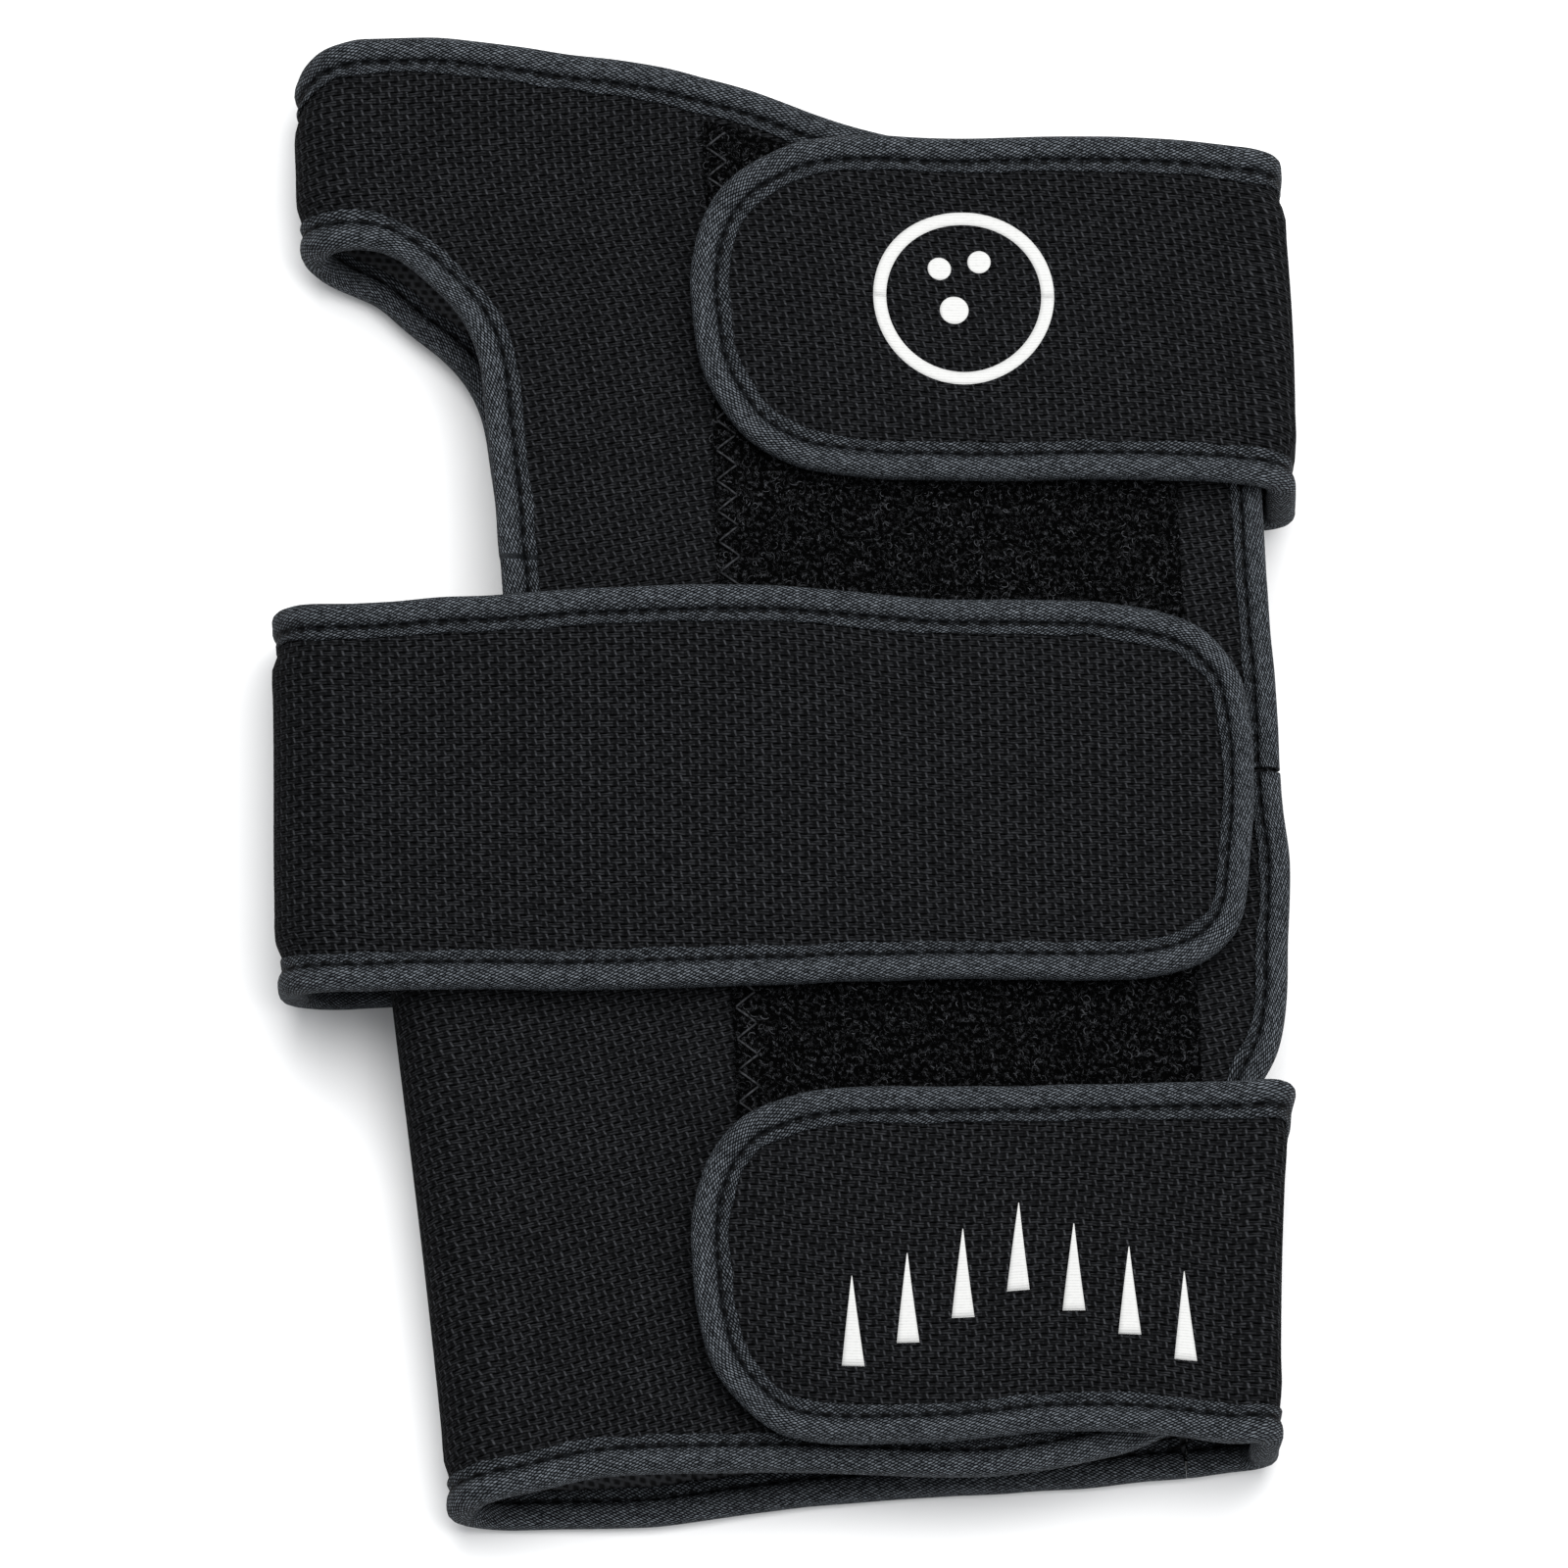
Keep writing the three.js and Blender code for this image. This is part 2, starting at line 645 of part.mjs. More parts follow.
function palmEdgeBinding() {
  const from = strapHigh(forearmStrap) - forearmStrap.askew + clearance;
  const to = strapLow(handStrap) - handStrap.askew - clearance;
  const steps = 6;
  const stations = [];
  for (let k = 0; k <= steps; k++) {
    const y = mix(to, from, k / steps);
    stations.push({ q: bodyWrap.under(palmEdgeX(y), y), y });
  }
  return bindingSolid(bodyWrap.place, stations);
}

// The field lies on the front ply, from the hand end's binding to under the forearm strap.
function loopField() {
  const middleX = (y) => halfWidth - loopInset - loopWidth / 2 - loopSlant * y;
  const bottom = mix(strapLow(forearmStrap), strapHigh(forearmStrap), loopEnd);
  const kinks = [strapLow(wristStrap), strapHigh(wristStrap)];
  const steps = 10;
  const columns = [];
  for (let k = 0; k <= steps; k++) {
    const q = (y) => bodyWrap.over(middleX(y) + loopWidth * (k / steps - 0.5), y);
    const share = q(sheetTop) / frontWidth(sheetTop);
    const edge = sheetTop - gloveLength * read(handEndFront, "across", "drop", share);
    const top = edge - bindingWidth - 2 * clearance;
    columns.push({ q, ys: [bottom, ...kinks, mix(kinks[1], top, 0.5), top] });
  }
  const low = laminate / 2 + clearance;
  return sheetSolid(bodyWrap.place, columns, low, low + pile);
}

const bodyGroup = new THREE.Group();
bodyGroup.add(makeMesh("body_panel", cloth, bodyPanel()));
bodyGroup.add(makeMesh("hand_end_binding", tapeCloth, handEndBinding()));
bodyGroup.add(makeMesh("forearm_end_binding", tapeCloth, forearmEndBinding()));
bodyGroup.add(makeMesh("thumb_binding", tapeCloth, thumbBinding()));
bodyGroup.add(makeMesh("palm_edge_binding", tapeCloth, palmEdgeBinding()));
bodyGroup.add(makeMesh("loop_field", loopCloth, loopField()));

const toSeam = seamInset - clearance;
const wristArgs = [wristWrap, wristUnder, wristStrap.end - bindingSet, wristEndRound];
const handArgs = [handWrap, toSeam, bindingSet - handStrap.end, handEndRound];
const forearmArgs = [forearmWrap, toSeam, bindingSet - forearmStrap.end, forearmEndRound];

const glove = new THREE.Group();
glove.add(bodyGroup);
glove.add(makeStrap("hand_strap", handStrap, ...handArgs));
glove.add(makeStrap("wrist_strap", wristStrap, ...wristArgs));
glove.add(makeStrap("forearm_strap", forearmStrap, ...forearmArgs));

export default glove;
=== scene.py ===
"""Looks of the bowling glove: woven laminate, folded tapes, stitches, loop pile and straps.

Lengths in this script are millimetres in the part's frame; mesh_object() turns them into metres.
A ply is laid out in its own plane: q runs along its section, from the start of its fold out over
the top and, below zero, round the fold and back underneath; y runs along the glove; h is the
height over the ply's middle, outwards.
"""
import math

import bpy
import numpy as np
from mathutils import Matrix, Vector
from mathutils.kdtree import KDTree


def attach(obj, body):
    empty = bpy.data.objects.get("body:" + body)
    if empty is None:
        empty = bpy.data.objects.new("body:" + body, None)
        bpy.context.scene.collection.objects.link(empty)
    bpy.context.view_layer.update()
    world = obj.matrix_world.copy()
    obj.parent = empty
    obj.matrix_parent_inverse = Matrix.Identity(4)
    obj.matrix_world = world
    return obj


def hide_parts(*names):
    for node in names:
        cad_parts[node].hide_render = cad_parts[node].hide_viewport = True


MM = 0.001

# Overall sizes
GLOVE_LENGTH = 219.0
GLOVE_WIDTH = 149.6
HALF_LENGTH = GLOVE_LENGTH / 2
HALF_WIDTH = GLOVE_WIDTH / 2
FOLD_AT_FOREARM = 48.0
FOLD_AT_HAND = 71.6

# Materials and seams
LAMINATE = 2.6
TAPE = 0.6
CLEARANCE = 0.3
TAPE_SET = CLEARANCE + TAPE
TAPE_WIDTH = 5.7
PILE = 1.2
HOOK_SHEET = 0.6
SEAM_INSET = 8.0
EDGE_BULGE = 4.5
STITCH_PITCH = 2.9
STITCH_LENGTH = 1.4
STITCH_INTO = 3.35  # from a ply's edge to the tape's stitch line
STITCH_WAY = 5.35  # from the tape's fold to its stitch line, along the tape's face
STITCH_HEIGHT = 1.3
THREAD_RADIUS = 0.13
WEAVE_ROW = 0.861  # a pair of weft threads
WEAVE_TIE = 2.634  # from tie to tie along a pair
# How the weave lies on each ply: slant of its rows, slant of its ties, change of the first per mm
BODY_GRAIN = (-0.14, 0.06, 0.00086)
HAND_GRAIN = (0.06, 0.06, 0)
WRIST_GRAIN = (0.047, 0, 0)
FOREARM_GRAIN = (0.062, -0.046, 0)

# Heights and the folds' inner radii
OPENING = 14.0
STRAP_CORNER = 4.0
WRIST_CORNER = 9.0
BODY_CORNER = 7.0
PALM_Z = TAPE_SET + LAMINATE / 2
FRONT_Z = PALM_Z + OPENING
STRAP_Z = FRONT_Z + LAMINATE + 3 * CLEARANCE + PILE + HOOK_SHEET
WRIST_RISE = LAMINATE + 2 * TAPE_SET + CLEARANCE

# Straps: width over the tapes, middle along the glove, free end, length of the rounded end.
# Two are folded askew, towards the forearm, from a way before the bend.
HAND = {"name": "hand_strap", "width": 52.3, "middle": 0.308, "end": -13.9, "round": 28.0}
WRIST = {"name": "wrist_strap", "width": 58.0, "middle": -0.02, "end": 68.1, "round": 22.5}
FOREARM = {"name": "forearm_strap", "width": 51.7, "middle": -0.337, "end": -13.2, "round": 28.0}
HAND_ASKEW, HAND_BEFORE = 3.0, 17.0
FOREARM_ASKEW = 2.2
TURN_SHARE = 0.6
# Bumps of a strap's fold: middle and half width round it, reach along it
CORNER_BUMP, FOOT_BUMP = (-5, 4.5, 5), (-14, 9, 6)
WRIST_UNDER = 84.0
WRIST_LEAN = 0.022
HOOK_LENGTH = 36.0
HOOK_INSET = 19.0
HOOK_MARGIN = 2.5

# Thumb hole
THUMB_LENGTH = 68.5
THUMB_MIDDLE = 0.202
THUMB_REACH = 14.5

# Loop field
LOOP_WIDTH = 67.5
LOOP_INSET = 16.0
LOOP_SLANT = 0.032
LOOP_END = 0.42
LOOP_SHEET = 0.56
LOOP_COLUMNS, LOOP_ROWS = 46, 110
CURLS_IN_ZONE = 4500
CURL_POINTS = 7
CURL_RADIUS = (0.22, 0.5)
CURL_SWEEP = (2.2, 4.6)
CURL_TILT = (0.5, 1.5)
CURL_THREAD = (0.045, 0.075)
CURL_FOOT = 1.75  # over the front ply's middle
ZIGZAG_PERIOD = 4.6
ZIGZAG_WIDTH = 3.0
SEAM_PITCH = 1.7
SEAM_REACH = 2.0
# Zigzag threads: height over the ply's middle, swell, radius, points in a stitch
FIELD_THREAD = (2.32, 0.28, 0.17, 6)
SEAM_THREAD = (1.36, 0.12, 0.2, 5)

# Columns and cells of the body's grid
FRONT_COLUMNS, FOLD_COLUMNS, PALM_COLUMNS, HOLE_COLUMNS = 60, 23, 56, 11
BELOW_HOLE, BESIDE_HOLE, ABOVE_HOLE = 62, 26, 24
HOLE_FROM = 0.08
HOLE_EASE = 0.35

# Where the two tapes of the body meet on the free edge
MEETING = 0.55
HALF_GAP = 0.35

# Prints
INK_TOP, INK_FOOT = 1.37, 1.2  # over a strap's middle
BALL = {"x": 26.0, "y": 69.0, "outer": 13.2, "inner": 11.3}
BALL_HOLES = [(-3.5, 4.5, 1.7), (2.3, 5.6, 1.7), (-1.4, -1.8, 2.1)]  # (x, y, radius) from its middle
ARROWS = {"x": 34.0, "y": -78.5, "step": 8.0, "drop": 3.4, "width": 3.3, "height": 13.0}

# Stage in metres, watts and degrees
FLOOR_SIZE = 6.0
SKY = (0.95, 0.97, 1.0, 1)
SKY_POWER = 0.5
LIGHTS = {"key": ((0.1, 0.35, 1.3), 1.1, 26.0), "side": ((0.75, -0.3, 0.8), 0.6, 4.0)}
CAMERA = {"aim": (0.0, -0.0006, 0.0103), "away": 3.175, "rise": 78, "lens": 500.0}

SHEET_TOP = HALF_LENGTH - TAPE_SET

# Tables of (key, value): shares of the sizes above
HAND_END_FRONT = [
    (0, 0.001), (0.05, 0), (0.1, 0), (0.22, 0.008), (0.33, 0.018), (0.44, 0.035), (0.52, 0.053),
    (0.61, 0.068), (0.7, 0.075), (0.92, 0.083), (0.97, 0.09), (1, 0.115),
]
HAND_END_FOLD = [(0, 0.001), (0.25, 0.008), (0.5, 0.021), (1, 0.029)]
FOREARM_END_FRONT = [
    (0, 0.01), (0.1, 0.021), (0.17, 0.025), (0.32, 0.026), (0.57, 0.024), (0.67, 0.0255),
    (0.78, 0.035), (0.88, 0.048), (0.945, 0.07), (0.98, 0.1), (1, 0.137),
]
FOREARM_END_FOLD = [(0, 0.01), (0.25, 0.004), (0.5, 0), (1, 0)]
PALM_HAND_END = [(0, 0), (0.2, 0.12), (0.4, 0.45), (0.6, 0.82), (0.8, 0.98), (1, 1)]
PALM_FOREARM_END = [
    (0, 0), (0.2, 0.05), (0.32, 0.24), (0.47, 0.46), (0.69, 0.67), (0.82, 0.76), (0.95, 0.93), (1, 1),
]
FREE_EDGE = [
    (0, 0), (0.08, 0.04), (0.17, 0.13), (0.34, 0.33), (0.5, 0.6), (0.63, 0.94), (0.76, 0.92),
    (0.86, 0.87), (0.94, 0.6), (1, 0),
]
LEFT_SIDE = [
    (0, 0), (0.16, 0.15), (0.33, 0.35), (0.64, 0.64), (0.8, 0.81), (0.87, 0.95), (0.94, 0.985),
    (1, 0.95),
]
RIGHT_SIDE = [(-0.92, 0.032), (-0.44, 0.016), (0.4, 0), (0.86, 0.027)]
# Thumb hole's outline as (reach or turn, low, high)
THUMB_FRONT = [
    (1, 0.3, 0.64), (0.97, 0.19, 0.76), (0.86, 0.11, 0.84), (0.63, 0.045, 0.917), (0.33, 0.01, 0.98),
]
THUMB_FOLD = [(0, 0, 1), (0.5, 0, 0.987), (1, 0, 0.93)]
THUMB_PALM = [
    (0.33, 0.01, 0.86), (0.63, 0.045, 0.8), (0.86, 0.11, 0.73), (0.97, 0.19, 0.66), (1, 0.3, 0.56),
]
# Rounded ends as (back, low, high)
HAND["tip"] = [
    (1, 0, 1), (0.76, 0.011, 0.99), (0.53, 0.04, 0.967), (0.3, 0.115, 0.902), (0.15, 0.219, 0.825),
    (0.06, 0.325, 0.735), (0.015, 0.445, 0.645), (0, 0.53, 0.59),
]
WRIST["tip"] = [
    (1, 0, 1), (0.64, 0.005, 0.976), (0.32, 0.04, 0.924), (0.12, 0.112, 0.822), (0.045, 0.2, 0.73),
    (0, 0.42, 0.6),
]
FOREARM["tip"] = [
    (1, 0, 1), (0.62, 0, 0.985), (0.4, 0.024, 0.95), (0.22, 0.105, 0.9), (0.1, 0.2, 0.815),
    (0.03, 0.35, 0.71), (0, 0.5, 0.61),
]
# How the straps' lower and upper edges wander as they lie: (way along, low, high)
HAND["drift"] = [
    (-20, 0, 0), (0, 0.9, -0.2), (5, 0.8, -0.2), (13, 0.2, -0.1), (27, 0.35, 0.1), (42, -0.1, -0.4),
    (56, -0.2, 0), (82, 0, 0),
]
WRIST["drift"] = [
    (-45, 1.8, -0.5), (-20, -0.2, -1.2), (-8, -1.5, -1.75), (1, -1.6, -2), (21, -0.9, -0.45),
    (42, -0.75, 0.9), (64, -0.3, 0), (85, 0.55, -1.6), (99, 0.4, -1.3), (114, 0.15, -1.45),
    (132, 0, -1.4),
]
FOREARM["drift"] = [
    (-31, 0, 0), (-22, 1.0, 0), (-12, 0.7, 0), (-5, -0.3, 0.7), (1, -0.9, -0.2), (12, 0.7, -0.36),
    (27, 1.6, -0.5), (41, 0, -0.65), (55, -1, -0.6), (80, 0, -0.3),
]


def mix(low, high, share):
    return low + (high - low) * share


def smooth(t):
    t = np.clip(t, 0.0, 1.0)
    return t * t * (3 - 2 * t)


def curve(keys, values, at, closed=False):
    """A smooth line through values at rising keys, read at places between them."""
    slopes = np.empty(len(keys))
    slopes[1:-1] = (values[2:] - values[:-2]) / (keys[2:] - keys[:-2])
    slopes[0] = (values[1] - values[0]) / (keys[1] - keys[0])
    slopes[-1] = (values[-1] - values[-2]) / (keys[-1] - keys[-2])
    if closed:
        slopes[0] = slopes[-1] = (slopes[0] + slopes[-1]) / 2
    i = np.clip(np.searchsorted(keys, at, side="right") - 1, 0, len(keys) - 2)
    step = keys[i + 1] - keys[i]
    t = (at - keys[i]) / step
    lean = t * (1 - t) * ((1 - t) * slopes[i] - t * slopes[i + 1]) * step
    return mix(values[i], values[i + 1], t * t * (3 - 2 * t)) + lean


def read(table, at):
    """Smooth reading of a table of (key, value), level beyond its ends."""
    keys, values = np.array(sorted(table), float).T
    return curve(keys, values, np.clip(at, keys[0], keys[-1]))


def ways_along(points):
    """The way along a line to each of its points."""
    return np.concatenate([[0], np.cumsum(np.linalg.norm(np.diff(points, axis=0), axis=1))])


def strap_low(strap):
    return strap["middle"] * GLOVE_LENGTH - strap["width"] / 2


def strap_high(strap):
    return strap["middle"] * GLOVE_LENGTH + strap["width"] / 2


def strap_cloth(strap):
    """The low and high side of a strap's cloth, inside its tapes."""
    return strap_low(strap) + TAPE_SET, strap_high(strap) - TAPE_SET


# Folded plies


def lift(y):
    """The body arches over the wrist strap's back and comes down at both ends."""
    high, low = strap_high(WRIST), strap_low(WRIST)
    up = np.interp(y, [-HALF_LENGTH, low, high, HALF_LENGTH], [0, 1, 1, 0])
    return WRIST_RISE * up


def settle(points):
    """One soft movement of the whole glove, so that pieces on each other stay on each other."""
    x, y, z = points[..., 0], points[..., 1], points[..., 2]
    up = smooth((z - 3.0) / 20.0)
    dome = 0.9 * np.cos(x / 62.0) * np.cos(y / 90.0)
    ripple = 0.34 * np.sin(x / 9.5 + 0.6 * np.sin(y / 17.0)) * np.sin(y / 21.0 + 0.8)
    ripple += 0.3 * np.sin(x / 17.0 - y / 13.0 + 1.9) + 0.16 * np.sin(x / 5.5 + y / 11.0 + 0.4)
    sway = 0.25 * np.sin(x / 11.0 + 1.3) + 0.2 * np.sin(x / 23.0 + y / 31.0)
    moved = points.copy()
    moved[..., 0] += up * 0.2 * np.sin(y / 9.0 + 0.5)
    moved[..., 1] += up * sway
    moved[..., 2] += up * (dome + ripple)
    return moved


def bump(q, beyond, middle, half, reach):
    """One at the middle of a bump and at the strap's edge, easing to nought round both."""
    return np.exp(-(((q - middle) / half) ** 2)) * smooth((beyond + reach) / reach)


class Wrap:
    """A ply that runs flat, turns round a fold at one side and runs back flat underneath."""

    def __init__(self, side, fold_x, top_z, bottom_z, corner, lifted, askew=0.0, before=0.0):
        self.side, self.fold_x, self.corner, self.lifted = side, fold_x, corner, lifted
        self.top_z, self.bottom_z, self.askew, self.before = top_z, bottom_z, askew, before
        self.strap, self.swell, self.peak, self.pinch = None, 0.4, 0.0, 0.0
        self.quarter = corner * math.pi / 2
        self.upright = top_z - bottom_z - 2 * corner
        self.fold_length = 2 * self.quarter + self.upright

    def offset(self, by):
        """The same path this much further out."""
        other = Wrap(
            self.side, self.fold_x, self.top_z + by, self.bottom_z - by, self.corner + by,
            self.lifted, self.askew, self.before,
        )
        other.start_x, other.strap = self.start_x, self.strap
        return other

    def start_x(self, y):
        return self.fold_x(y) - self.side * (LAMINATE / 2 + self.corner)

    def over(self, x, y):
        return self.side * (self.start_x(y) - x)

    def under(self, x, y):
        return -self.fold_length - self.side * (self.start_x(y) - x)

    def drift(self, q, y):
        """How far a strap's cloth wanders from its straight course."""
        if not self.strap:
            return 0.0
        low, high = strap_low(self.strap), strap_high(self.strap)
        share = np.clip((y - low) / (high - low), 0, 1)
        keys, lows, highs = zip(*self.strap["drift"])
        return mix(read(zip(keys, lows), q), read(zip(keys, highs), q), share)

    def place(self, q, y, h):
        """Places in space of ways along the section, along the glove and off the ply's middle."""
        q, y, h = np.broadcast_arrays(*(np.asarray(v, float) for v in (q, y, h)))
        turned = smooth((self.before - q) / (self.before + self.fold_length * TURN_SHARE))
        y = y - self.askew * turned + self.drift(q, y)
        down, corner, second = -q, self.corner, self.quarter + self.upright
        first_turn = np.clip(down, 0, self.quarter) / corner
        last_turn = np.clip(down - second, 0, self.quarter) / corner
        cases = [down > self.fold_length, down > second, down > self.quarter, down > 0]
        out = np.select(
            cases,
            [self.fold_length - down, (corner + h) * np.cos(last_turn), corner + h,
             (corner + h) * np.sin(first_turn)],
            down,
        )
        z = np.select(
            cases,
            [self.bottom_z - h, self.bottom_z + corner - (corner + h) * np.sin(last_turn),
             self.top_z - corner - (down - self.quarter),
             self.top_z - corner + (corner + h) * np.cos(first_turn)],
            self.top_z + h,
        )
        x = self.start_x(y) + self.side * out
        if self.peak:
            x = x + self.side * self.peak * bump(q, y - strap_high(self.strap), *CORNER_BUMP)
            x = x - self.side * self.pinch * bump(q, strap_low(self.strap) - y, *FOOT_BUMP)
        return settle(np.stack([x, y, z + (lift(y) if self.lifted else 0)], axis=-1))

    def normal(self, q, y, h):
        up = self.place(q, y, h + 0.2) - self.place(q, y, h - 0.2)
        return up / np.linalg.norm(up, axis=-1, keepdims=True)


def right_fold_x(y):
    return HALF_WIDTH * (1 - read(RIGHT_SIDE, y / HALF_LENGTH)) - TAPE_SET


def body_fold_x(y):
    return -mix(FOLD_AT_FOREARM, FOLD_AT_HAND, read(LEFT_SIDE, (y + HALF_LENGTH) / GLOVE_LENGTH))


def wrist_fold_x(y):
    return TAPE_SET - HALF_WIDTH + WRIST_LEAN * (strap_high(WRIST) - y)


HAND_WRAP = Wrap(1, right_fold_x, STRAP_Z, PALM_Z, STRAP_CORNER, True, HAND_ASKEW, HAND_BEFORE)
FOREARM_WRAP = Wrap(1, right_fold_x, STRAP_Z, PALM_Z, STRAP_CORNER, True, FOREARM_ASKEW)
WRIST_WRAP = Wrap(-1, wrist_fold_x, STRAP_Z + WRIST_RISE, PALM_Z, WRIST_CORNER, False)
BODY_WRAP = Wrap(-1, body_fold_x, FRONT_Z, PALM_Z, BODY_CORNER, True)
for one, its_wrap in ((HAND, HAND_WRAP), (WRIST, WRIST_WRAP), (FOREARM, FOREARM_WRAP)):
    one["wrap"], its_wrap.strap = its_wrap, one
HAND_WRAP.swell, WRIST_WRAP.swell, FOREARM_WRAP.swell = 0.8, 1.0, 0.1
HAND_WRAP.peak, FOREARM_WRAP.peak = 0.5, 0.7
FOREARM_WRAP.pinch = 0.8


def front_edge_x(y):
    inside = HAND_WRAP.corner - LAMINATE / 2 - TAPE_SET
    rise = FRONT_Z + LAMINATE / 2 + TAPE_SET - (STRAP_Z - HAND_WRAP.corner)
    relief = inside - math.sqrt(max(inside * inside - rise * rise, 0))
    tuck = LAMINATE + 2 * TAPE_SET + CLEARANCE + relief
    start, finish = strap_low(HAND), strap_high(FOREARM)
    bulge = read(FREE_EDGE, (start - y) / (start - finish))
    return right_fold_x(y) - tuck + EDGE_BULGE * bulge


def front_width(y):
    return BODY_WRAP.over(front_edge_x(y), y)


def palm_edge_x(y):
    return HAND_WRAP.start_x(y) - SEAM_INSET


def palm_width(y):
    return -BODY_WRAP.fold_length - BODY_WRAP.under(palm_edge_x(y), y)


def hole_y(share):
    return THUMB_MIDDLE * GLOVE_LENGTH + (share - 0.5) * THUMB_LENGTH


# Lines in a ply's plane

FINE_STEP = 0.1
TAPE_STEP = 0.72
SLIM_REACH = 14  # stations over which a tape's change of width is eased


def even_line(points, step, closed=False, soften=0.0):
    """Evenly spaced stations on a smooth line through the points."""
    points = np.asarray(points, float)
    if closed:
        points = np.vstack([points, points[:1]])
    along = ways_along(points)
    fine = np.linspace(0, along[-1], int(along[-1] / FINE_STEP) + 2)
    line = np.stack([curve(along, points[:, k], fine, closed) for k in (0, 1)], axis=1)
    if soften:
        half = int(soften / FINE_STEP)
        kernel = np.hanning(2 * half + 3)[1:-1]
        kernel /= kernel.sum()
        padded = np.pad(line, ((half, half), (0, 0)), mode="wrap" if closed else "edge")
        if not closed:
            padded[:half] = 2 * line[0] - line[1 : half + 1][::-1]
            padded[-half:] = 2 * line[-1] - line[-half - 1 : -1][::-1]
        line = np.stack([np.convolve(padded[:, k], kernel, "valid") for k in (0, 1)], axis=1)
    along = ways_along(line)
    count = max(int(round(along[-1] / step)), 2)
    at = np.linspace(0, along[-1], count + 1)
    if closed:
        at = at[:-1]
    return np.stack([np.interp(at, along, line[:, k]) for k in (0, 1)], axis=1)


def left_normals(line, closed=False):
    if closed:
        ahead = np.roll(line, -1, axis=0) - np.roll(line, 1, axis=0)
    else:
        ahead = np.gradient(line, axis=0)
    ahead /= np.linalg.norm(ahead, axis=1, keepdims=True)
    return np.stack([-ahead[:, 1], ahead[:, 0]], axis=1)


class Edge:
    """A tape's line in a ply's plane, with the ply on its left."""

    def __init__(self, wrap, points, closed=False, soften=1.6, upright=0.95):
        self.wrap, self.closed = wrap, closed
        self.line = even_line(points, TAPE_STEP, closed, soften)
        self.into = left_normals(self.line, closed)
        self.along = ways_along(self.line)
        last = np.linalg.norm(self.line[0] - self.line[-1]) if closed else 0.0
        self.length = self.along[-1] + last
        slim = mix(0.95, upright, smooth((np.abs(self.into[:, 0]) - 0.7) / 0.25))
        kernel = np.hanning(2 * SLIM_REACH + 3)[1:-1]
        padded = np.pad(slim, SLIM_REACH, mode="wrap" if closed else "edge")
        self.slim = np.convolve(padded, kernel / kernel.sum(), "valid")

    def at(self, along, depth):
        """Places at ways along the line and depths into the ply."""
        line, into, ways, slim = self.line, self.into, self.along, self.slim
        if self.closed:
            line, into = np.vstack([line, line[:1]]), np.vstack([into, into[:1]])
            ways, slim = np.append(ways, self.length), np.append(slim, slim[0])
        depth = depth * np.interp(along, ways, slim)
        spot = np.stack([np.interp(along, ways, line[:, k]) for k in (0, 1)], axis=-1)
        turn = np.stack([np.interp(along, ways, into[:, k]) for k in (0, 1)], axis=-1)
        return spot + turn * depth[..., None]


# Meshes

LEAST_INSIDE, FAR_INSIDE = 0.25, 14.0
TUBE_CAPS = {3: [[0, 1, 2]], 6: [[0, 1, 2, 3], [0, 3, 4, 5]]}

def mesh_object(name, points, faces, materials, uvs=None, slots=None):
    """A mesh from points in millimetres and a list of arrays of faces with 3 or 4 corners."""
    mesh = bpy.data.meshes.new(name)
    corners = np.concatenate([f.ravel() for f in faces]).astype(np.int32)
    sizes = np.concatenate([np.full(len(f), f.shape[1]) for f in faces])
    starts = np.concatenate([[0], np.cumsum(sizes)[:-1]]).astype(np.int32)
    mesh.vertices.add(len(points))
    mesh.vertices.foreach_set("co", (np.asarray(points) * MM).astype(np.float32).ravel())
    mesh.loops.add(len(corners))
    mesh.loops.foreach_set("vertex_index", corners)
    mesh.polygons.add(len(starts))
    mesh.polygons.foreach_set("loop_start", starts)
    mesh.polygons.foreach_set("use_smooth", np.ones(len(starts), bool))
    if slots is not None:
        mesh.polygons.foreach_set("material_index", np.asarray(slots, np.int32))
    if uvs is not None:
        layer = mesh.uv_layers.new(name="cloth")
        layer.data.foreach_set("uv", np.asarray(uvs, np.float32)[corners].ravel())
    for material in materials:
        mesh.materials.append(material)
    mesh.update(calc_edges=True)
    mesh.validate()
    made = bpy.data.objects.new(name, mesh)
    bpy.context.scene.collection.objects.link(made)
    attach(made, "root")
    return made


def closed_sheet(top, bottom, filled=...):
    """Points and faces of a sheet between two grids of places; filled picks its cells."""
    index = np.arange(top[..., 0].size).reshape(top.shape[:2])
    corners = index[:-1, :-1], index[1:, :-1], index[1:, 1:], index[:-1, 1:]
    upper = np.stack([corner[filled].ravel() for corner in corners], axis=1)
    edges = np.concatenate([upper[:, pair] for pair in ([0, 1], [1, 2], [2, 3], [3, 0])])
    keys = edges[:, 0] * index.size + edges[:, 1]
    twins = edges[:, 1] * index.size + edges[:, 0]
    start, end = edges[~np.isin(twins, keys)].T
    walls = np.stack([end, start, start + index.size, end + index.size], axis=1)
    points = np.concatenate([top.reshape(-1, 3), bottom.reshape(-1, 3)])
    return points, outward(points, [upper, upper[:, ::-1] + index.size, walls])


def outward(points, faces):
    """Turns the faces round if they look inwards."""
    six = 0.0
    for quads in faces:
        a, b = points[quads[:, 0]], points[quads[:, 1]]
        for k in range(2, quads.shape[1]):
            c = points[quads[:, k]]
            six += float((a * np.cross(b, c)).sum())
            b = c
    return faces if six > 0 else [f[:, ::-1] for f in faces]


